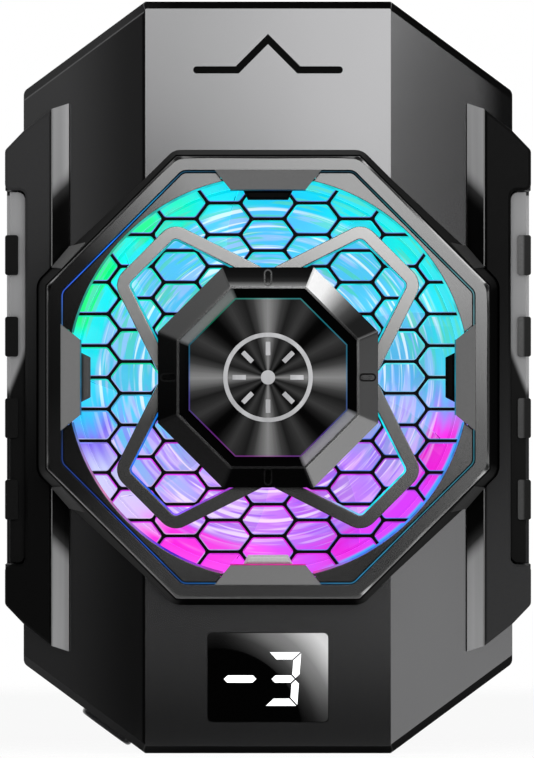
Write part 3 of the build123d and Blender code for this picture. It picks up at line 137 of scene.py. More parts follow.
class Paint(Nodes):
    """A material in the making; its places are in millimetres from the fan's axis and the phone's back."""

    def __init__(self, name):
        self.name = name
        self.material = bpy.data.materials.new(name)
        self.material.use_nodes = True
        super().__init__(self.material.node_tree)
        self.shader = self.tree.nodes["Principled BSDF"]
        self.coordinates = self.node("ShaderNodeTexCoord").outputs
        self.place = self.coordinates["Object"]

    @cached_property
    def axes(self):
        return self.node("ShaderNodeSeparateXYZ", {"Vector": self.place}).outputs

    @cached_property
    def across(self):
        """Distance to the right of the axis."""
        return self.times(self.axes["X"], 1000.0)

    @cached_property
    def depth(self):
        """Distance in front of the phone's back."""
        return self.times(self.less(CONTACT_Y, self.axes["Y"]), 1000.0)

    @cached_property
    def height(self):
        """Distance above the axis."""
        return self.times(self.less(self.axes["Z"], CENTRE_Z), 1000.0)

    @cached_property
    def side(self):
        """Distance across to either side of the axis."""
        return self.absolute(self.across)

    @cached_property
    def rise(self):
        """Distance above or below the axis."""
        return self.absolute(self.height)

    @cached_property
    def radius(self):
        square = self.plus(self.times(self.across, self.across), self.times(self.height, self.height))
        return self.most(self.math("SQRT", square), 0.01)

    @cached_property
    def cosine(self):
        return self.math("DIVIDE", self.across, self.radius)

    @cached_property
    def sine(self):
        return self.math("DIVIDE", self.height, self.radius)

    @cached_property
    def turn(self):
        """Angle round the axis, counted from the right."""
        return self.math("ARCTAN2", self.sine, self.cosine)

    @cached_property
    def reach(self):
        """Distance from the axis to the side of an octagon through a place."""
        slant = self.times(self.plus(self.side, self.rise), math.sqrt(0.5))
        return self.most(self.most(self.side, self.rise), slant)

    @cached_property
    def facing(self):
        """Y of the direction that the surface faces; -1 faces the front."""
        return self.node("ShaderNodeSeparateXYZ", {"Vector": self.coordinates["Normal"]}).outputs["Y"]

    def share(self, shift=0.0):
        """Share of a full turn round the axis."""
        turn = self.math("DIVIDE", self.turn, 2 * math.pi)
        return self.math("FRACT", self.plus(self.plus(turn, 1.0), shift))

    def ramp(self, value, *stops):
        node = self.node("ShaderNodeValToRGB", {"Fac": value})
        elements = node.color_ramp.elements
        while len(elements) < len(stops):
            elements.new(0.5)
        for element, (position, color) in zip(elements, stops):
            element.position = position
            element.color = solid(color)
        return node.outputs["Color"]

    def around(self, *stops, shift=0.0):
        """Colours round the axis: each stop's angle is in degrees, counted from the right."""
        return self.ramp(self.share(shift), *[(angle / 360, color) for angle, color in stops])

    def vary(self, grain, dark, light):
        """Tone that follows a grain from dark to light."""
        return self.ramp(grain, (0.3, dark), (0.7, light))

    def mix(self, factor, first, second, blend="MIX"):
        node = self.node("ShaderNodeMix", {0: factor}, data_type="RGBA", blend_type=blend)
        for index, color in ((6, first), (7, second)):
            self.set(node.inputs[index], color if isinstance(color, bpy.types.NodeSocket) else solid(color))
        return node.outputs[2]

    def noise(self, scale, detail=2.0, stretch=None, place=None, roughness=0.5):
        place = place or self.place
        if stretch:
            place = self.node("ShaderNodeMapping", {"Vector": place, "Scale": stretch}).outputs[0]
        inputs = {"Vector": place, "Scale": scale, "Detail": detail, "Roughness": roughness}
        return self.node("ShaderNodeTexNoise", inputs).outputs["Fac"]

    def look(self, inputs):
        """Sets inputs of the shader by their names."""
        for name, value in inputs.items():
            self.set(self.shader.inputs[name], value)

    def bump(self, height, distance):
        """Relief of a height, as deep as a distance in metres."""
        bump = self.node("ShaderNodeBump", {"Height": height, "Distance": distance})
        self.look({"Normal": bump.outputs[0]})

    def texture(self, grain, gloss, relief=0.0):
        """Roughness between two values and relief in metres, both after a grain."""
        self.look({"Roughness": self.span(grain, 0.25, 0.75, *gloss)})
        if relief:
            self.bump(grain, relief)

    def skin(self, color, grain, dark, gloss, relief=0.0, light=1.0):
        """Colour that a grain multiplies by dark to light, with its texture."""
        self.look({"Base Color": self.mix(1.0, color, self.vary(grain, dark, light), "MULTIPLY")})
        self.texture(grain, gloss, relief)


def satin(name, color, roughness, metallic=0.0, grain=2500.0, relief=0.000002, vary=0.06, coat=0.0):
    """Moulded or painted surface with a fine grain in its tone, gloss and relief."""
    paint = Paint(name)
    fine = paint.noise(grain, 3.0)
    tone = paint.plus(paint.times(fine, 0.5), paint.times(paint.noise(60.0), 0.5))
    color = paint.vary(tone, shade(color, 1 - vary), shade(color, 1 + vary))
    paint.look({"Base Color": color, "Metallic": metallic})
    paint.texture(fine, (roughness * 0.88, roughness * 1.12), relief)
    if coat:
        paint.look({"Coat Weight": coat, "Coat Roughness": 0.12})
    return paint


def brushed(name, color, roughness, stretch):
    """Metal with fine streaks: the stretch is small along the brushing."""
    paint = Paint(name)
    streak = paint.noise(900.0, 3.0, stretch)
    tone = paint.plus(paint.times(streak, 0.6), paint.times(paint.noise(90.0), 0.4))
    color = paint.vary(tone, shade(color, 0.8), shade(color, 1.15))
    paint.look({"Base Color": color, "Metallic": 1.0, "Anisotropic": 0.4})
    paint.texture(streak, (roughness * 0.8, roughness * 1.25), 0.000002)
    return paint


def rubber(name, color, roughness):
    """Soft matte rubber with a fine cast texture."""
    paint = satin(name, color, roughness, grain=3500.0, relief=0.000012, vary=0.2)
    paint.look({"Specular IOR Level": 0.35})
    return paint


def board_paint(name):
    """Green board with copper tracks under the mask."""
    paint = Paint(name)
    cells = paint.node(
        "ShaderNodeTexVoronoi",
        {"Vector": paint.place, "Scale": 700.0},
        distance="MANHATTAN",
        feature="DISTANCE_TO_EDGE",
    )
    track = paint.span(cells.outputs["Distance"], 0.05, 0.09)
    color = paint.mix(track, (0.03, 0.16, 0.07), (0.012, 0.075, 0.03))
    paint.look({"Base Color": color, "Roughness": paint.span(track, 0.0, 1.0, 0.28, 0.4)})
    paint.bump(track, 0.00001)
    return paint


INNER_GLOW = screen(
    (0, (85, 170, 225)), (30, (80, 195, 232)), (90, (72, 192, 250)), (150, (80, 192, 240)),
    (190, (72, 195, 228)), (212, (130, 180, 242)), (230, (165, 165, 238)), (250, (185, 130, 240)),
    (285, (185, 100, 238)), (300, (180, 115, 235)), (318, (165, 130, 228)), (340, (130, 170, 230)),
    (360, (85, 172, 215)),
)
OUTER_GLOW = screen(
    (0, (80, 205, 235)), (18, (40, 210, 225)), (45, (0, 225, 220)), (85, (0, 195, 245)),
    (110, (0, 220, 225)), (120, (0, 235, 185)), (132, (20, 230, 240)), (172, (20, 225, 235)),
    (190, (50, 185, 240)), (200, (125, 100, 230)), (212, (195, 200, 240)), (226, (205, 180, 238)),
    (236, (250, 40, 215)), (262, (238, 70, 232)), (280, (205, 80, 240)), (292, (225, 35, 215)),
    (302, (205, 60, 245)), (322, (210, 60, 240)), (332, (228, 30, 205)), (344, (225, 40, 210)),
    (352, (130, 140, 235)), (360, (80, 205, 235)),
)
# Rims of the glow by share of a turn: green at the upper left, blue at the lower right
GLOW_RIMS = (
    (0.0, 0.0), (0.34, 0.0), (0.352, (0.0, 0.9, 0.0)), (0.366, (0.0, 0.9, 0.0)), (0.374, (0.0, 0.25, 0.0)),
    (0.392, (0.0, 0.25, 0.0)), (0.4, (0.0, 1.0, 0.0)), (0.455, (0.0, 1.0, 0.0)), (0.468, 0.0), (0.79, 0.0),
    (0.82, (0.0, 0.0, 1.0)), (0.95, (0.0, 0.0, 1.0)), (0.97, 0.0),
)


def glow_color(paint):
    """Colours of the lit fan round its axis, paler inside than outside, crossed by light arcs."""
    arc = paint.vector(paint.cosine, paint.sine, paint.times(paint.radius, 0.42))
    drift = paint.less(paint.noise(1.7, 1.0, place=arc), 0.5)
    shift = paint.times(drift, 0.05)
    reach = paint.plus(paint.radius, paint.times(drift, 4.0))
    inner, outer = paint.around(*INNER_GLOW, shift=shift), paint.around(*OUTER_GLOW, shift=shift)
    color = paint.mix(paint.span(reach, 20.4, 21.6), inner, outer)
    inside = paint.span(reach, 22.6, 20.6)
    lower = paint.span(paint.height, 2.0, -8.0)
    rims = paint.ramp(paint.share(), *GLOW_RIMS)
    rims = paint.node("ShaderNodeSeparateColor", {"Color": rims}).outputs
    green = paint.times(rims["Green"], paint.span(reach, 22.9, 23.5))
    color = paint.mix(green, color, tint(0, 245, 125))
    blue = paint.times(rims["Blue"], paint.span(paint.radius, 24.45, 24.8))
    color = paint.mix(blue, color, tint(60, 160, 255))
    # soft bands, then teal patches above and violet ones below, then white arcs and finer hairs
    band = paint.span(paint.noise(2.1, 1.0, (1.0, 1.0, 1.2), place=arc), 0.5, 0.6)
    veil = paint.mix(lower, tint(165, 195, 250), tint(222, 180, 252))
    color = paint.mix(paint.times(paint.times(band, inside), 0.6), color, veil)
    patch = paint.noise(2.9, 1.0, (1.0, 1.0, 1.4), place=arc)
    teal = paint.times(paint.span(patch, 0.54, 0.6), paint.span(paint.height, -3.0, 6.0))
    color = paint.mix(paint.times(teal, 0.75), color, tint(80, 208, 180))
    violet = paint.times(paint.span(patch, 0.45, 0.38), paint.times(lower, inside))
    color = paint.mix(paint.times(violet, 0.5), color, tint(150, 90, 245))
    arcs = paint.span(paint.noise(2.5, 0.5, (0.6, 0.6, 2.0), place=arc), 0.59, 0.68)
    hairs = paint.span(paint.noise(5.2, 1.0, (0.5, 0.5, 1.9), place=arc), 0.62, 0.7)
    streak = paint.most(paint.times(arcs, 0.8), paint.times(hairs, 0.35))
    pale = paint.mix(lower, tint(228, 246, 255), tint(244, 226, 255))
    return paint.mix(paint.times(streak, inside), color, pale)


def lit(name, strength, spill):
    """Translucent plastic that glows with the fan's colours, brighter to everything but the camera."""
    paint = Paint(name)
    color = glow_color(paint)
    seen = paint.node("ShaderNodeLightPath").outputs["Is Camera Ray"]
    paint.look({"Base Color": paint.mix(0.85, color, (0.02, 0.02, 0.03)), "Roughness": 0.35})
    emission = paint.span(seen, 0.0, 1.0, spill, strength, smooth=False)
    paint.look({"Emission Color": color, "Emission Strength": emission})
    return paint


def lit_plastic(name):
    """Dark moulded plastic with a painted glow in the fan's colours on the floor behind the blades."""
    paint = Paint(name)
    fine = paint.noise(2500.0, 3.0)
    paint.look({"Base Color": paint.vary(fine, (0.018, 0.018, 0.021), (0.022, 0.022, 0.025))})
    # painted glow between the hub and the rim
    band = paint.between(paint.radius, (8.5, 9.0), (25.6, 25.5))
    paint.look({"Emission Color": glow_color(paint), "Emission Strength": band})
    paint.texture(fine, (0.4, 0.5), 0.000002)
    return paint


def spun_metal(name):
    """Dark turned metal with painted highlights: light fans at the four quarters and fainter ones between,
    with fine streaks.
    """
    paint = Paint(name)
    fan = paint.math("DIVIDE", paint.math("PINGPONG", paint.turn, math.pi / 4), math.pi / 4)
    light = paint.ramp(
        fan,
        (0.0, 0.38), (0.1, 0.26), (0.24, 0.075), (0.38, 0.018), (0.5, 0.035), (0.64, 0.062), (0.8, 0.018),
        (0.92, 0.002), (1.0, 0.001),
    )
    streak = paint.noise(26.0, 3.0, place=paint.vector(paint.cosine, paint.sine, 0.0), roughness=0.7)
    groove = paint.noise(11.0, 3.0, place=paint.vector(paint.radius, 0.0, 0.0), roughness=0.7)
    grain = paint.vary(paint.plus(paint.times(streak, 0.7), paint.times(groove, 0.3)), 0.8, 1.0)
    paint.look({"Base Color": paint.mix(1.0, light, grain, "MULTIPLY")})
    # a painted glow line at the plate's rim, coloured round the fan
    rim_glow_colors = screen(
        (0, (40, 90, 120)), (45, (30, 100, 110)), (90, (50, 120, 115)), (135, (20, 100, 75)),
        (180, (30, 60, 120)), (225, (90, 40, 110)), (270, (105, 45, 110)), (315, (70, 50, 120)),
        (360, (40, 90, 120)),
    )
    rim = paint.span(paint.reach, 9.7, 9.76)
    paint.look({"Emission Color": paint.around(*rim_glow_colors), "Emission Strength": rim})
    tangent = paint.node("ShaderNodeTangent", direction_type="RADIAL", axis="Y").outputs[0]
    paint.look({"Metallic": 0.35, "Specular IOR Level": 0.05, "Anisotropic": 0.6, "Tangent": tangent})
    paint.look({"Roughness": paint.span(groove, 0.3, 0.7, 0.34, 0.44)})
    paint.bump(groove, 0.0000008)
    return paint


def trim_with_painted_reflection(name):
    """Dark chrome strip with a painted reflection: light towards its ends and black beside the bezel."""
    paint = Paint(name)
    far = paint.most(paint.height, paint.less(2.8, paint.height))
    light = paint.span(paint.plus(far, paint.less(paint.side, 26.0)), 21.0, 25.6)
    streak = paint.noise(500.0, 3.0, (1.0, 1.0, 0.02))
    color = paint.ramp(light, (0.0, 0.002), (0.45, 0.035), (1.0, (0.4, 0.4, 0.405)))
    paint.look({"Base Color": paint.mix(0.2, color, paint.vary(streak, 0.0, 1.0), "OVERLAY")})
    paint.look({"Roughness": paint.span(streak, 0.3, 0.7, 0.3, 0.42)})
    paint.look({"Metallic": 0.15, "Specular IOR Level": 0.15})
    paint.bump(streak, 0.000001)
    return paint


def window_glass(name):
    """Glossy black lens with a painted grey sheen outside a wide arc, strongest at its upper right corner.
    """
    paint = Paint(name)
    black = 0.0003
    side = paint.math("POWER", paint.plus(paint.across, 6.4), 2.0)
    rise = paint.math("POWER", paint.plus(paint.height, 44.55), 2.0)
    far = paint.math("SQRT", paint.plus(side, rise))
    painted_sheen = paint.ramp(
        paint.span(far, 10.0, 20.0, smooth=False),
        (0.0, black), (0.06, black), (0.08, 0.02), (0.22, 0.075), (0.35, 0.22), (0.48, 0.31), (0.74, 0.92),
    )
    upper = paint.span(paint.height, -44.0, -35.5, 0.12, 1.0)
    fading = paint.times(upper, paint.span(paint.across, -6.5, 0.5, 0.12, 1.0))
    cloud = paint.noise(150.0)
    tone = paint.mix(1.0, paint.mix(fading, black, painted_sheen), paint.vary(cloud, 0.96, 1.0), "MULTIPLY")
    paint.look({"Base Color": tone, "Roughness": 0.07, "Specular IOR Level": 0.3})
    paint.bump(cloud, 0.0000005)
    return paint


def digit_light(name):
    """White lit segments, a little uneven in tone."""
    paint = Paint(name)
    color = paint.vary(paint.noise(900.0), (0.93, 0.95, 0.97), 1.0)
    paint.look({"Base Color": color, "Emission Color": color, "Emission Strength": 1.0, "Roughness": 0.3})
    return paint


def casing_paint(name):
    """Satin gunmetal lacquer with a metallic flake, and painted light and shade face by face, with painted
    shade on the edges.
    """
    paint = Paint(name)
    facet_side = 15.4
    left_side = -facet_side
    front_depth = 19.5
    flake = paint.noise(5200.0)
    tone = paint.plus(paint.times(flake, 0.35), paint.times(paint.noise(45.0), 0.65))
    base = paint.vary(tone, (0.335, 0.335, 0.34), (0.375, 0.375, 0.38))
    # painted light: the flat middle is lighter at the upper right and below the bezel
    flat_low = paint.span(paint.height, -46.0, -31.0, 0.62, 1.5)
    flat_high = paint.span(paint.across, -13.0, 13.0, 0.9, 1.15)
    flat = paint.mix(paint.span(paint.height, -10.0, 10.0), flat_low, flat_high)
    # painted shade on the side facets: the left one darker towards the middle, the right one dark at its
    # upper outer corner
    left = paint.span(paint.across, -27.0, -16.5, 1.2, 0.42)
    left = paint.times(left, paint.span(paint.height, -26.0, 0.0, 0.95, 1.0))
    painted_corner_shade = paint.times(paint.span(paint.across, 25.5, 29.5), paint.span(paint.height, 5.0, 20.0))
    right = paint.less(1.0, paint.times(painted_corner_shade, 0.88))
    facet = paint.mix(paint.span(paint.across, -1.0, 1.0), left, right)
    level = paint.mix(paint.span(paint.side, facet_side - 0.07, facet_side), flat, facet)
    # a painted shade line along the left facet's seam
    seam = paint.between(paint.across, (left_side - 0.45, left_side - 0.2), (left_side + 0.1, left_side))
    level = paint.mix(seam, level, 0.12)
    # a painted highlight line inside the upper left edge, and painted light and shade on the chamfers, set
    # one by one round the fan
    wall = paint.plus(paint.times(paint.side, 0.5905), paint.times(paint.rise, 0.8069))
    corner = paint.span(paint.across, left_side, left_side - 0.2)
    corner = paint.times(corner, paint.span(paint.height, 20.0, 21.0))
    line = paint.times(paint.between(wall, (45.92, 45.97), (46.12, 46.07)), corner)
    level = paint.mix(line, level, 2.6)
    painted_chamfer_tone = paint.around(
        (0, 0.03), (68, 0.03), (76, 0.1), (104, 0.1), (112, 0.5), (180, 0.5), (240, 0.2), (260, 0.08),
        (360, 0.05),
    )
    edge = paint.between(paint.absolute(paint.facing), (0.86, 0.8), (0.35, 0.5))
    level = paint.mix(edge, level, painted_chamfer_tone)
    base = paint.mix(1.0, base, level, "MULTIPLY")
    # the chevron groove's sunken faces are painted black
    sunk = paint.span(paint.depth, front_depth - 0.08, front_depth - 0.14)
    along = paint.between(paint.height, (33.0, 33.6), (44.2, 43.6))
    groove = paint.times(sunk, paint.times(paint.span(paint.side, 10.2, 9.6), along))
    paint.look({"Base Color": paint.mix(groove, base, 0.004), "Metallic": 1.0})
    paint.texture(flake, (0.185, 0.215), 0.0000004)
    return paint


def jaw_paint(name):
    """Dark satin plastic with a light grey band painted along its front's outer edge, beside the grip strip.
    """
    paint = Paint(name)
    along = paint.between(paint.height, (-2.4, -0.8), (23.0, 22.8))
    edge_band = paint.times(paint.span(paint.side, 32.25, 32.33), along)
    edge_band = paint.times(edge_band, paint.span(paint.facing, -0.8, -0.9))
    fine = paint.noise(1800.0, 3.0)
    dark = paint.vary(fine, (0.02, 0.02, 0.023), (0.024, 0.024, 0.027))
    paint.look({"Base Color": paint.mix(edge_band, dark, (0.6, 0.6, 0.605))})
    paint.texture(fine, (0.36, 0.44), 0.000004)
    return paint


def plate_paint(name):
    """Near-black satin lacquer with painted light: slightly lighter at the upper left and the lower right.
    """
    paint = Paint(name)
    slope = paint.times(paint.math("SIGN", paint.across), paint.height)
    light = paint.span(slope, -26.0, 16.0, 0.9, 0.0)
    fine = paint.noise(3200.0)
    tone = paint.times(light, paint.span(fine, 0.2, 0.8, 0.92, 1.0))
    color = paint.ramp(tone, (0.0, 0.003), (1.0, (0.042, 0.042, 0.043)))
    paint.look({"Base Color": color, "Specular IOR Level": 0.12})
    paint.texture(fine, (0.36, 0.42), 0.0000008)
    return paint


def strip_paint(name):
    """Polished light strip with fine lines along it; painted shade makes it black below a slanted border and
    the right strip a touch darker.
    """
    paint = Paint(name)
    border = paint.span(paint.side, 30.3, 32.3, 3.4, -1.6, smooth=False)
    light = paint.span(paint.less(paint.height, border), -1.0, 1.2)
    tone = paint.mix(paint.span(paint.across, -1.0, 1.0), (0.37, 0.37, 0.375), (0.36, 0.36, 0.365))
    line = paint.noise(800.0, 3.0, (1.0, 1.0, 0.02))
    paint.skin(paint.mix(light, 0.004, tone), line, 0.92, (0.36, 0.46), 0.000001)
    paint.look({"Specular IOR Level": 0.2})
    return paint


def rib_paint(name):
    """Dark rubber ribs with painted light: the right ones are lighter on their inner half, more so towards
    the top.
    """
    paint = Paint(name)
    light = paint.times(paint.span(paint.across, -1.0, 1.0), paint.span(paint.across, 32.2, 31.8, 0.1, 1.0))
    along = paint.span(paint.height, -18.0, 18.0, smooth=False)
    level = paint.ramp(along, (0.0, 0.07), (0.35, 0.08), (0.6, 0.115), (1.0, 0.15))
    paint.skin(paint.mix(light, 0.006, level), paint.noise(3500.0), 0.85, (0.4, 0.5), 0.000008)
    paint.look({"Specular IOR Level": 0.2})
    return paint


def ring_paint(name):
    """Polished dark metal whose slopes, rim and recess carry painted reflections and painted shade, toned
    side by side.
    """
    paint = Paint(name)
    slope_reach = 11.4
    rim_reach = 11.08
    pill_centre = 12.425
    pill_half_length = 0.55
    # painted reflections on the slopes, set round the fan
    slopes = paint.around(
        (0, 0.24), (21.5, 0.22), (23.5, 0.01), (33, 0.01), (40, 0.045), (45, 0.13), (51, 0.38), (57, 0.68),
        (66.5, 0.72), (68.5, 0.14), (111.5, 0.14), (113.5, 0.31), (156.5, 0.25), (158.5, 0.03),
        (201.5, 0.012), (203.5, 0.13), (246.5, 0.12), (248.5, 0.012), (291.5, 0.012), (293.5, 0.38),
        (336.5, 0.36), (338.5, 0.24), (360, 0.24),
    )
    # the upper slope, within 22.5 degrees of upright, has a painted highlight at its inner rim
    fall = paint.span(paint.reach, 13.75, slope_reach, smooth=False)
    fall = paint.ramp(fall, (0.0, 0.01), (0.5, 0.022), (0.75, 0.06), (1.0, 0.6))
    upper = paint.less(paint.height, paint.times(paint.side, 2.414))
    slopes = paint.mix(paint.span(upper, -0.02, 0.02), slopes, fall)
    # painted light and shade on the rim, set round the fan
    rim = paint.around(
        (0, 0.42), (21.5, 0.42), (23.5, 0.05), (40, 0.1), (60, 0.4), (68.5, 0.75), (111.5, 0.7),
        (113.5, 0.46), (156.5, 0.46), (158.5, 0.35), (201.5, 0.35), (203.5, 0.5), (246.5, 0.35),
        (248.5, 0.12), (291.5, 0.12), (293.5, 0.6), (336.5, 0.6), (338.5, 0.42), (360, 0.42),
    )
    # painted light on the recess floor at the upper left and lower right; black elsewhere
    recess = paint.around(
        (0, 0.003), (112, 0.003), (113, 0.42), (157, 0.42), (158, 0.01), (202, 0.003), (292, 0.003),
        (293, 0.62), (337, 0.62), (338, 0.003), (360, 0.003),
    )
    # the four pills are outlined in painted light on the dark slopes and in painted shade on the right one
    far = paint.most(paint.side, paint.rise)
    near = paint.math("MINIMUM", paint.side, paint.rise)
    along = paint.absolute(paint.less(far, pill_centre))
    along = paint.most(paint.less(along, pill_half_length), 0.0)
    away = paint.plus(paint.math("POWER", near, 2.0), paint.math("POWER", along, 2.0))
    outline = paint.between(paint.math("SQRT", away), (0.3, 0.37), (0.56, 0.47))
    pill_outline_light = paint.around(
        (0, 0.012), (45, 0.012), (46, 0.26), (135, 0.26), (136, 0.06), (225, 0.06), (226, 0.06), (315, 0.1),
        (316, 0.012), (360, 0.012),
    )
    slopes = paint.mix(outline, slopes, pill_outline_light)
    inner = paint.mix(paint.span(paint.reach, rim_reach - 0.01, rim_reach + 0.02), recess, rim)
    base = paint.mix(paint.span(paint.reach, slope_reach - 0.03, slope_reach + 0.01), inner, slopes)
    paint.skin(base, paint.noise(3500.0), 0.94, (0.17, 0.21), 0.0000002)
    paint.look({"Metallic": paint.span(paint.reach, rim_reach - 0.05, rim_reach), "Specular IOR Level": 0.0})
    return paint


def bezel_paint(name):
    """Satin metal with painted reflections: the flat band is toned round the fan, with a painted highlight
    line at its rim above a skirt in painted shade.
    """
    paint = Paint(name)
    rim_reach = 27.4
    edge_reach = 27.6
    band = paint.around(
        (0, 0.39), (14, 0.33), (45, 0.35), (90, 0.37), (108, 0.38), (120, 0.45), (135, 0.3), (148, 0.075),
        (168, 0.06), (184, 0.065), (196, 0.125), (210, 0.14), (225, 0.39), (240, 0.62), (270, 0.55),
        (292, 0.56), (302, 0.49), (330, 0.56), (346, 0.43), (360, 0.39),
    )
    rim = paint.around(
        (0, 0.5), (70, 0.46), (110, 0.46), (140, 0.85), (180, 0.9), (225, 0.9), (270, 0.6), (315, 0.85),
        (345, 0.6), (360, 0.5),
    )
    skirt = paint.around(
        (0, 0.003), (21, 0.003), (25, 0.02), (65, 0.022), (69, 0.055), (111, 0.055), (115, 0.03),
        (156, 0.026), (158, 0.02), (202, 0.02), (204, 0.045), (246, 0.04), (249, 0.002), (291, 0.002),
        (294, 0.034), (336, 0.026), (339, 0.003), (360, 0.003),
    )
    base = paint.mix(paint.span(paint.reach, rim_reach, rim_reach + 0.04), band, rim)
    # painted shade: a black line between the rim's highlight line and the skirt
    beyond_rim = paint.span(paint.reach, edge_reach - 0.04, edge_reach)
    base = paint.mix(beyond_rim, base, 0.004)
    base = paint.mix(paint.span(paint.reach, edge_reach + 0.16, edge_reach + 0.24), base, skirt)
    paint.skin(base, paint.noise(3200.0), 0.97, (0.198, 0.202))
    metallic = paint.span(paint.reach, edge_reach - 0.04, edge_reach, 1.0, 0.0)
    paint.look({"Metallic": metallic, "Specular IOR Level": 0.0})
    return paint


def star_paint(name):
    """Light satin metal trim with painted light and shade: bright above and dark below."""
    paint = Paint(name)
    base = paint.around(
        (0, 0.58), (10, 0.68), (20, 0.7), (80, 0.78), (95, 0.95), (155, 0.95), (162, 0.82), (174, 0.95),
        (182, 0.8), (190, 0.66), (200, 0.3), (225, 0.28), (270, 0.31), (288, 0.21), (302, 0.31),
        (315, 0.47), (350, 0.5), (360, 0.58),
    )
    paint.skin(base, paint.noise(3000.0), (0.96, 0.96, 0.95), (0.215, 0.225), light=(1.0, 0.995, 0.985))
    paint.look({"Metallic": 0.92})
    return paint


def panel_paint(name):
    """Satin corner panels with painted light and shade: light above and at the right, dark at the left and
    below.
    """
    paint = Paint(name)
    base = paint.around(
        (0, 0.33), (30, 0.42), (70, 0.42), (112, 0.44), (124, 0.32), (140, 0.15), (152, 0.06), (180, 0.03),
        (208, 0.08), (222, 0.2), (238, 0.36), (270, 0.3), (300, 0.2), (318, 0.3), (334, 0.34), (360, 0.33),
    )
    paint.skin(base, paint.noise(3200.0), 0.94, (0.22, 0.26), 0.0000004)
    paint.look({"Metallic": 0.95})
    return paint


def gusset_paint(name):
    """Dark satin facets with painted light, lightest at the upper left."""
    paint = Paint(name)
    base = paint.around(
        (0, 0.05), (90, 0.06), (140, 0.16), (180, 0.1), (215, 0.08), (300, 0.07), (360, 0.05),
    )
    paint.skin(base, paint.noise(3000.0), 0.93, (0.36, 0.44), 0.0000008)
    paint.look({"Specular IOR Level": 0.2})
    return paint


def stud_paint(name):
    """Dark studs with painted light: the lower one is painted light and the left one grey."""
    paint = Paint(name)
    base = paint.around(
        (0, 0.004), (40, 0.004), (140, 0.004), (150, 0.12), (210, 0.12), (225, 0.02), (245, 0.85),
        (295, 0.85), (310, 0.004), (360, 0.004),
    )
    paint.skin(base, paint.noise(3000.0), 0.92, (0.32, 0.38), 0.000001)
    paint.look({"Metallic": 0.3, "Specular IOR Level": 0.05})
    return paint


def mesh_paint(name):
    """Black satin wire."""
    paint = satin(name, (0.004, 0.004, 0.005), 0.45)
    paint.look({"Specular IOR Level": 0.08})
    return paint


def inlay_paint(name):
    """Pale brushed inlay, only partly metallic."""
    paint = brushed(name, (0.8, 0.8, 0.82), 0.2, (1.0, 1.0, 0.1))
    paint.look({"Metallic": 0.35})
    return paint


finishes = (
    casing_paint("casing"),
    satin("casing_back", (0.03, 0.03, 0.033), 0.48, grain=1800.0, relief=0.00001),
    brushed("screw_steel", (0.22, 0.22, 0.23), 0.35, (1.0, 1.0, 0.05)),
    rubber("thermal_pad", (0.3, 0.33, 0.36), 0.7),
    brushed("cold_plate", (0.72, 0.73, 0.75), 0.3, (1.0, 1.0, 0.03)),
    satin("ceramic", (0.86, 0.86, 0.84), 0.5),
    brushed("pellet_metal", (0.4, 0.4, 0.43), 0.4, (1.0, 0.1, 1.0)),
    rubber("foam", (0.04, 0.04, 0.04), 0.85),
    brushed("heat_sink", (0.55, 0.56, 0.58), 0.35, (1.0, 1.0, 0.04)),
    lit_plastic("fan_plastic"),
    brushed("bearing_bronze", (0.55, 0.4, 0.22), 0.35, (1.0, 0.1, 1.0)),
    brushed("shaft_steel", (0.65, 0.65, 0.67), 0.22, (1.0, 0.1, 1.0)),
    board_paint("board"),
    brushed("stator_steel", (0.4, 0.4, 0.42), 0.4, (0.1, 1.0, 0.1)),
    brushed("coil_copper", (0.62, 0.3, 0.12), 0.3, (0.1, 1.0, 1.0)),
    satin("magnet", (0.1, 0.09, 0.09), 0.55),
    lit("rotor_plastic", 0.96, 2.2),
    lit("light_ring", 1.05, 3.0),
    digit_light("led"),
    mesh_paint("guard_mesh"),
    star_paint("star_trim"),
    bezel_paint("bezel"),
    satin("guard_clamp", (0.2, 0.2, 0.2), 0.35, metallic=0.2, vary=0.05),
    stud_paint("guard_stud"),
    panel_paint("corner_panel"),
    ring_paint("hub_ring"),
    spun_metal("hub_plate"),
    inlay_paint("hub_inlay"),
    window_glass("window"),
    digit_light("digits"),
    satin("chip", (0.02, 0.02, 0.021), 0.45),
    brushed("socket_steel", (0.62, 0.62, 0.64), 0.25, (1.0, 1.0, 0.1)),
    satin("socket_plastic", (0.015, 0.015, 0.016), 0.4),
    satin("button", (0.02, 0.02, 0.022), 0.25, coat=0.4),
    satin("gear_plastic", (0.82, 0.8, 0.74), 0.4),
    jaw_paint("jaw"),
    plate_paint("jaw_plate"),
    trim_with_painted_reflection("jaw_trim"),
    strip_paint("grip_strip"),
    rib_paint("grip_rib"),
    rubber("hook_pad", (0.05, 0.05, 0.055), 0.7),
    brushed("spring_steel", (0.55, 0.55, 0.57), 0.25, (0.02, 1.0, 1.0)),
)
paints = {paint.name: paint for paint in finishes}

# Rounded edges of the CAD nodes: width in millimetres
edge_widths = {
    "front_shell": 0.12, "rear_cover": 0.2, "fan_bezel": 0.12, "hub_ring": 0.08, "hub_plate": 0.05,
    "star_trim": 0.12, "guard_clamps": 0.08, "guard_studs": 0.08, "corner_panels": 0.08, "guard_mesh": 0.06,
    "display_window": 0.06, "mode_button": 0.08, "rear_screws": 0.08, "cold_plate": 0.1, "thermal_pad": 0.12,
    "usb_socket": 0.06, "hub_inlay": 0.04, "jaw": 0.15, "jaw_plate": 0.12, "jaw_trim": 0.06,
    "grip_strip": 0.08, "grip_ribs": 0.15, "hook_pad": 0.2, "usb_tongue": 0.05,
}


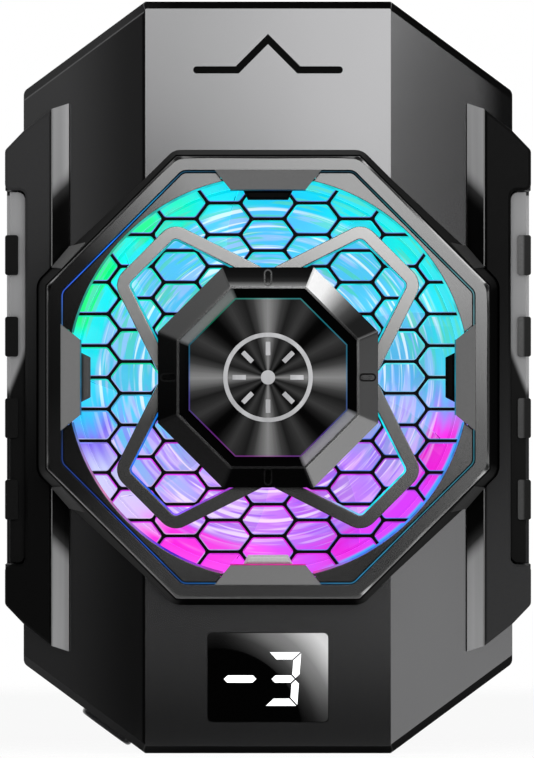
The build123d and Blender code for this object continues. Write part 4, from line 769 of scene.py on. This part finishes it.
def marking_tree():
    """Node group that marks a piece's edges: those on smooth faces only past a wider angle."""
    tree = bpy.data.node_groups.new("mark_edges", "GeometryNodeTree")
    for direction in ("INPUT", "OUTPUT"):
        tree.interface.new_socket("Geometry", in_out=direction, socket_type="NodeSocketGeometry")
    make = Nodes(tree)
    start = make.node("NodeGroupInput").outputs[0]
    angle = make.node("GeometryNodeInputMeshEdgeAngle").outputs["Unsigned Angle"]
    smooth = make.node("GeometryNodeInputShadeSmooth").outputs[0]
    per_face = make.node("GeometryNodeFieldOnDomain", {0: smooth}, data_type="FLOAT", domain="FACE")
    limit = make.span(per_face.outputs[0], 0.75, 1.0, math.radians(4), math.radians(32), smooth=False)
    sharp = make.math("GREATER_THAN", angle, limit)
    store = make.node(
        "GeometryNodeStoreNamedAttribute",
        {"Geometry": start, "Name": "bevel_weight_edge", "Value": sharp},
        data_type="FLOAT",
        domain="EDGE",
    )
    normal = make.node(
        "GeometryNodeSetMeshNormal",
        {"Remove Custom": True, "Mesh": store.outputs[0], "Edge Sharpness": sharp, "Face Sharpness": False},
        mode="SHARPNESS",
    )
    make.node("NodeGroupOutput", {0: normal.outputs[0]})
    return tree


mark_edges = marking_tree()


def add_weld(piece):
    """Joins points that lie in the same place."""
    weld = piece.modifiers.new("weld", "WELD")
    weld.merge_threshold = WELD_GAP


def soften(piece, width):
    """Rounds the edges with modifiers, so the mesh itself stays as it came."""
    add_weld(piece)
    flats = piece.modifiers.new("flats", "DECIMATE")
    flats.decimate_type = "DISSOLVE"
    flats.angle_limit = math.radians(0.4)
    marks = piece.modifiers.new("marks", "NODES")
    marks.node_group = mark_edges
    bevel = piece.modifiers.new("bevel", "BEVEL")
    bevel.width = width * MM
    bevel.segments = 2
    bevel.limit_method = "WEIGHT"
    bevel.harden_normals = True


slots = {part["node"]: part["material_slot"] for part in frame["record"]["subparts"]}
for name, piece in nodes.items():
    material = paints[slots[name]].material
    if piece.data.materials:
        for index in range(len(piece.data.materials)):
            piece.data.materials[index] = material
    else:
        piece.data.materials.append(material)
    plain_name = name.removeprefix("left_").removeprefix("right_")
    if plain_name in edge_widths:
        soften(piece, edge_widths[plain_name])


# Pieces made here


def add_mesh(name, points, faces, body, paint):
    """New mesh piece that rides on a body and wears a paint."""
    mesh = bpy.data.meshes.new(name)
    mesh.from_pydata([tuple(point) for point in points], [], faces)
    mesh.materials.append(paint.material)
    piece = bpy.data.objects.new(name, mesh)
    bpy.context.scene.collection.objects.link(piece)
    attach(piece, body)
    return piece


def upright_edges(node, depth):
    """Edges of a node's upright walls at one depth, as pairs of points with the wall's outward direction."""
    most_lean = 0.3
    depth_play = 0.02 * MM
    shortest = 0.005 * MM
    mesh = nodes[node].data
    level = at_depth(depth)
    edges = []
    for polygon in mesh.polygons:
        if abs(polygon.normal.y) > most_lean:
            continue
        ends = [mesh.vertices[index].co for index in polygon.vertices]
        ends = [point.copy() for point in ends if abs(point.y - level) < depth_play]
        if len(ends) == 2 and (ends[0] - ends[1]).length > shortest:
            edges.append((ends[0], ends[1], polygon.normal.copy()))
    return edges


def spot(point):
    """Key of a place across and up, so that neighbouring edges find their shared end."""
    return (round(point.x, 6), round(point.z, 6))


def ribbons(name, node, wall_depth, depth, width, body, paint, chosen, start_at=0.0):
    """Thin strips beside a node's walls at a depth: from a start distance they reach outward by a width."""
    strip_thickness = 0.1 * MM
    sharpest_corner = 0.5
    edges = [edge for edge in upright_edges(node, wall_depth) if chosen(*edge)]
    away = {}
    for first, second, normal in edges:
        for point in (first, second):
            away.setdefault(spot(point), []).append(normal)
    reach = {}
    for key, normals in away.items():
        mean = sum(normals, Vector())
        mean.y = 0.0
        mean.normalize()
        slant = max(sharpest_corner, min(mean.dot(normal) for normal in normals))
        reach[key] = mean * (MM / slant)
    points, faces = [], []
    for first, second, normal in edges:
        start = len(points)
        ends = [Vector((point.x, at_depth(depth), point.z)) for point in (first, second)]
        shifts = [reach[spot(point)] for point in (first, second)]
        near = [end + shift * start_at for end, shift in zip(ends, shifts)]
        far = [end + shift * (start_at + width) for end, shift in zip(ends, shifts)]
        corners = [near[0], near[1], far[1], far[0]]
        facing = (corners[1] - corners[0]).cross(corners[2] - corners[0])
        if facing.y > 0:
            corners.reverse()
        points.extend(corners)
        faces.append(tuple(range(start, start + 4)))
    piece = add_mesh(name, points, faces, body, paint)
    add_weld(piece)
    solid_strip = piece.modifiers.new("solid", "SOLIDIFY")
    solid_strip.thickness = strip_thickness
    solid_strip.offset = -1.0


def edge_light(name, *stops, strength=1.0):
    """Painted light: a glowing strip for light caught along an edge; its colour turns round the fan."""
    paint = Paint(name)
    dim = paint.span(paint.noise(420.0), 0.35, 0.65, 0.0, 0.35)
    color = paint.mix(dim, paint.around(*stops), 0.0)
    paint.look({"Base Color": paint.mix(0.9, color, 0.0), "Emission Color": color})
    paint.look({"Emission Strength": strength, "Roughness": 0.4})
    return paint


def from_axis(point):
    """Distance of a point from the fan's axis, in millimetres."""
    return math.hypot(point.x, point.z - CENTRE_Z) / MM


def faces_axis(first, second, normal):
    """Whether the wall at an edge faces the fan's axis."""
    middle = (first + second) / 2
    return normal.x * middle.x + normal.z * (middle.z - CENTRE_Z) < 0


def within(first, second, limit):
    """Whether both ends of an edge lie within a distance from the fan's axis."""
    return from_axis(first) < limit and from_axis(second) < limit


# Depth of the guard mesh's front, on which its trims, the panels and the clamps stand
GUARD_FRONT_DEPTH = 20.8


def fan_lines(name, node, depth, width, paint, chosen, start_at=0.0):
    """Ribbons on the housing beside walls that end at the guard's front."""
    ribbons(name, node, GUARD_FRONT_DEPTH, depth, width, "housing", paint, chosen, start_at)


def make_cell_lights():
    """Lines in the guard's cells: on their upper walls and, finer, on their lower ones."""
    opening = 25.2
    upper = edge_light(
        "cell_upper",
        (0, (0.15, 0.85, 0.95)), (25, (0.0, 0.85, 0.9)), (90, (0.0, 0.85, 0.9)), (140, (0.0, 0.9, 0.55)),
        (175, (0.0, 0.9, 0.45)), (195, (0.1, 0.35, 1.0)), (215, (0.75, 0.05, 0.95)),
        (270, (0.9, 0.02, 0.85)), (320, (0.6, 0.05, 0.95)), (345, (0.3, 0.2, 0.95)),
        (360, (0.15, 0.85, 0.95)),
    )
    lower = edge_light(
        "cell_lower",
        (0, (0.3, 0.7, 0.95)), (30, (0.15, 0.4, 0.95)), (90, (0.15, 0.25, 0.9)), (160, (0.2, 0.3, 0.95)),
        (200, (0.5, 0.6, 1.0)), (230, (0.85, 0.6, 1.0)), (290, (0.15, 0.2, 0.95)), (330, (0.1, 0.25, 0.95)),
        (360, (0.3, 0.7, 0.95)),
        strength=0.9,
    )

    def above(first, second, normal):
        return within(first, second, opening) and normal.z < -0.2

    def below(first, second, normal):
        return within(first, second, opening) and normal.z > 0.2

    fan_lines("cell_light_upper", "guard_mesh", 20.45, 0.17, upper, above)
    fan_lines("cell_light_lower", "guard_mesh", 20.45, 0.1, lower, below)


def make_star_light():
    """Line along the star trim's inner edge."""
    star = edge_light(
        "star_light",
        (0, (0.0, 0.75, 0.95)), (60, (0.0, 0.6, 0.7)), (100, (0.0, 0.3, 0.45)), (125, (0.0, 0.55, 0.55)),
        (140, (0.0, 0.8, 0.75)), (165, (0.0, 0.45, 0.6)), (180, (0.0, 0.35, 0.95)),
        (225, (0.02, 0.12, 0.95)), (262, (0.75, 0.05, 0.9)), (290, (0.75, 0.1, 0.95)),
        (308, (0.0, 0.87, 1.0)), (345, (0.0, 0.87, 1.0)), (360, (0.0, 0.75, 0.95)),
    )
    fan_lines("star_light", "star_trim", 20.85, 0.22, star, faces_axis)


def make_bezel_light():
    """Painted shade: a black strip in the gap inside the bezel's octagon, with a glowing coloured line of
    painted light in it.
    """
    line = edge_light(
        "bezel_light",
        (0, (0.06, 0.1, 0.12)), (20, (0.1, 0.25, 0.28)), (45, (0.01, 0.2, 0.22)), (67, (0.0, 0.03, 0.05)),
        (112, (0.0, 0.05, 0.1)), (125, (0.0, 0.22, 0.45)), (140, (0.0, 0.2, 1.0)), (156, (0.03, 0.1, 0.6)),
        (170, (0.05, 0.18, 0.3)), (195, (0.01, 0.03, 0.1)), (225, (0.01, 0.06, 0.5)),
        (250, (0.0, 0.08, 0.3)), (290, (0.02, 0.2, 0.4)), (315, (0.03, 0.25, 0.35)),
        (340, (0.02, 0.15, 0.2)), (360, (0.06, 0.1, 0.12)),
    )

    def on_bezel(first, second, normal):
        return from_axis((first + second) / 2) > 25.8 and faces_axis(first, second, normal)

    # a black strip of painted shade in the gap, then a glowing line of painted light
    fan_lines("bezel_gap_shade", "fan_bezel", 21.64, 0.42, paints["guard_mesh"], on_bezel)
    fan_lines("bezel_light", "fan_bezel", 21.68, 0.15, line, on_bezel, start_at=0.12)


def make_panel_light():
    """Line along the round edge of the corner panels."""
    outer = edge_light(
        "panel_light",
        *screen(
            (0, (110, 225, 240)), (40, (0, 235, 235)), (110, (0, 215, 225)), (140, (50, 190, 150)),
            (175, (40, 130, 140)), (195, (70, 120, 200)), (215, (215, 130, 180)), (240, (60, 40, 235)),
            (262, (225, 70, 170)), (282, (225, 60, 160)), (296, (70, 130, 250)), (320, (70, 140, 250)),
            (345, (50, 150, 235)), (360, (110, 225, 240)),
        ),
    )

    def on_arc(first, second, normal):
        return from_axis((first + second) / 2) < 25.3 and faces_axis(first, second, normal)

    fan_lines("panel_light", "corner_panels", 21.0, 0.26, outer, on_arc)


def make_clamp_light():
    """Lines beside the clamps that hold the guard."""
    side = edge_light(
        "clamp_light",
        *screen(
            (0, (20, 130, 150)), (45, (0, 120, 140)), (90, (5, 45, 80)), (135, (0, 160, 120)),
            (180, (20, 110, 140)), (225, (60, 60, 180)), (262, (220, 30, 150)), (280, (210, 30, 150)),
            (315, (40, 100, 190)), (360, (20, 130, 150)),
        ),
    )

    def on_side(first, second, normal):
        return within(first, second, 26.2)

    fan_lines("clamp_light", "guard_clamps", 21.95, 0.14, side, on_side)


def make_plate_lines():
    """Painted highlights: light grey strips on the jaw plates' inner edges, beside the trims."""
    inner_edge = 27.1 * MM
    wall_end_depth = 18.3
    line_depth = 18.68
    line_width = 0.13
    for side, sign in (("left", -1), ("right", 1)):

        def inner(first, second, normal):
            return normal.x * sign < -0.9 and abs(abs(first.x) - inner_edge) < 0.3 * MM

        name, plate, body = side + "_plate_highlight", side + "_jaw_plate", side + "_clamp"
        paint = paints["guard_clamp"]
        ribbons(name, plate, wall_end_depth, line_depth, line_width, body, paint, inner)


def gusset_points(side, level):
    """Back and front corners of a gusset: its outline is laid on the bezel's sloping skirt."""
    outline = ((27.0, 13.69), (24.75, 16.31), (22.8, 16.75), (25.75, 13.56))
    skirt_top_depth = 23.5
    skirt_top_reach = 27.6
    skirt_slope = 0.2125
    lowest_depth = 18.75
    points = []
    for lift in (0.02, 0.14):
        for across, height in outline:
            reach = (across + height) / math.sqrt(2)
            depth = max(skirt_top_depth - (reach - skirt_top_reach) / skirt_slope, lowest_depth)
            push = lift / math.sqrt(2)
            x = side * (across + push) * MM
            z = CENTRE_Z + level * (height + push) * MM
            points.append((x, at_depth(depth + lift * skirt_slope), z))
    return points


def make_gussets():
    """Small raised facets on the bezel's skirt, where the side trims end."""
    paint = gusset_paint("gusset")
    faces = [(0, 1, 2, 3), (7, 6, 5, 4), (0, 4, 5, 1), (1, 5, 6, 2), (2, 6, 7, 3), (3, 7, 4, 0)]
    for side in (-1, 1):
        for level in (-1, 1):
            name = "gusset_" + ("left" if side < 0 else "right") + ("_low" if level < 0 else "_high")
            piece = add_mesh(name, gusset_points(side, level), faces, "housing", paint)
            bm = bmesh.new()
            bm.from_mesh(piece.data)
            bmesh.ops.recalc_face_normals(bm, faces=bm.faces)
            bm.to_mesh(piece.data)
            bm.free()


make_cell_lights()
make_star_light()
make_bezel_light()
make_panel_light()
make_clamp_light()
make_plate_lines()
make_gussets()

# Camera, light and floor

CAMERA_DISTANCE = 2.0
CAMERA_X = -0.000125
CAMERA_Z = 0.0468
REFERENCE_DEPTH = 19.5
PIXELS_PER_MM = 8.0
PHOTO_HEIGHT = 758
CARD_Y = -0.22
SOFTBOX_Y = -0.17
FLOOR_RADIUS = 0.27
FLOOR_CENTRE_Y = 0.2


def make_camera():
    """Camera that shows the casing's front face at the photo's scale."""
    data = bpy.data.cameras.new("camera")
    data.sensor_width = 36.0
    data.lens = data.sensor_width * CAMERA_DISTANCE * 1000 * PIXELS_PER_MM / PHOTO_HEIGHT
    data.clip_start = 0.01
    data.clip_end = 10.0
    camera = bpy.data.objects.new("camera", data)
    camera.location = (CAMERA_X, at_depth(REFERENCE_DEPTH) - CAMERA_DISTANCE, CAMERA_Z)
    camera.rotation_euler = (QUARTER, 0, 0)
    bpy.context.scene.collection.objects.link(camera)
    bpy.context.scene.camera = camera


def area_light(name, place, width, tall, radiance):
    """Rectangular light of even brightness that the camera doesn't see."""
    data = bpy.data.lights.new(name, "AREA")
    data.shape = "RECTANGLE"
    data.size = width
    data.size_y = tall
    data.energy = radiance * math.pi * width * tall
    light = bpy.data.objects.new(name, data)
    light.location = place
    light.visible_camera = False
    bpy.context.scene.collection.objects.link(light)
    return light


def softbox(name, across, up, side, radiance):
    """Square light that faces the fan's centre from the side; its place is in metres."""
    place = (across, SOFTBOX_Y, up)
    light = area_light(name, place, side, side, radiance)
    direction = Vector((0.0, 0.0, CENTRE_Z)) - Vector(place)
    light.rotation_mode = "QUATERNION"
    light.rotation_quaternion = direction.to_track_quat("-Z", "Y")


def card(name, across, height, width, tall, radiance, tilt=0.0):
    """Soft card that faces the object's front from close by; its place is in millimetres from the centre."""
    place = (across * MM, CARD_Y, CENTRE_Z + height * MM)
    light = area_light(name, place, width * MM, tall * MM, radiance)
    light.rotation_euler = (-QUARTER, math.radians(tilt), math.pi)


def make_lights():
    card("key", 46.0, 71.0, 150.0, 130.0, 1.35, tilt=-28.0)
    card("right_low", 140.0, -40.0, 80.0, 90.0, 0.46)
    card("left_high", -140.0, 45.0, 80.0, 90.0, 0.062)
    softbox("upper_right", 0.42, 0.46, 0.16, 1.6)
    softbox("lower_right", 0.42, -0.37, 0.2, 0.75)
    softbox("upper_left", -0.42, 0.46, 0.2, 0.25)
    softbox("upper", 0.0, 0.64, 0.16, 0.4)
    softbox("right", 0.594, CENTRE_Z, 0.16, 0.3)
    softbox("left", -0.594, CENTRE_Z, 0.16, 0.12)


def make_world():
    """White world: diffuse rays see an even fill, glossy rays the studio's dark front and light back."""
    world = bpy.data.worlds.new("studio")
    bpy.context.scene.world = world
    world.use_nodes = True
    make = Nodes(world.node_tree)
    background = world.node_tree.nodes["Background"]
    direction = make.node("ShaderNodeTexCoord").outputs["Generated"]
    back = make.node("ShaderNodeSeparateXYZ", {0: direction}).outputs["Y"]
    rays = make.node("ShaderNodeLightPath").outputs
    gloss = make.span(back, 0.05, 0.8, 0.02, 1.0)
    fill = make.node("ShaderNodeMix", {0: rays["Is Glossy Ray"], 2: 0.7, 3: gloss}).outputs[0]
    clear = make.most(rays["Is Camera Ray"], rays["Is Transmission Ray"])
    strength = make.node("ShaderNodeMix", {0: clear, 2: fill, 3: 1.0}).outputs[0]
    make.set(background.inputs["Strength"], strength)
    background.inputs["Color"].default_value = solid(1.0)


def floor_paint(name):
    """Pale matte floor, lifted towards white for the camera and clear towards its rim."""
    paint = Paint(name)
    length = paint.node("ShaderNodeVectorMath", {0: paint.place}, operation="LENGTH").outputs["Value"]
    fade = paint.span(length, FLOOR_RADIUS * 0.45, FLOOR_RADIUS * 0.98)
    paint.look({"Base Color": solid(0.85), "Roughness": 0.8, "Specular IOR Level": 0.1})
    glow = paint.node("ShaderNodeEmission", {"Color": solid(1.0), "Strength": 1.0}).outputs[0]
    lift = paint.times(paint.node("ShaderNodeLightPath").outputs["Is Camera Ray"], 0.85)
    lifted = paint.node("ShaderNodeMixShader", {0: lift, 1: paint.shader.outputs[0], 2: glow}).outputs[0]
    clear = paint.node("ShaderNodeBsdfTransparent").outputs[0]
    faded = paint.node("ShaderNodeMixShader", {0: fade, 1: lifted, 2: clear}).outputs[0]
    paint.set(paint.tree.nodes["Material Output"].inputs["Surface"], faded)
    return paint


def make_floor():
    """Pale round floor that fades into the white background and keeps the shadow."""
    bm = bmesh.new()
    bmesh.ops.create_circle(bm, cap_ends=True, segments=96, radius=FLOOR_RADIUS)
    mesh = bpy.data.meshes.new("floor")
    bm.to_mesh(mesh)
    bm.free()
    floor = bpy.data.objects.new("floor", mesh)
    floor.location = (0.0, FLOOR_CENTRE_Y, 0.0)
    bpy.context.scene.collection.objects.link(floor)
    mesh.materials.append(floor_paint("floor").material)


make_camera()
make_lights()
make_world()
make_floor()
bpy.context.scene.view_settings.view_transform = "Standard"
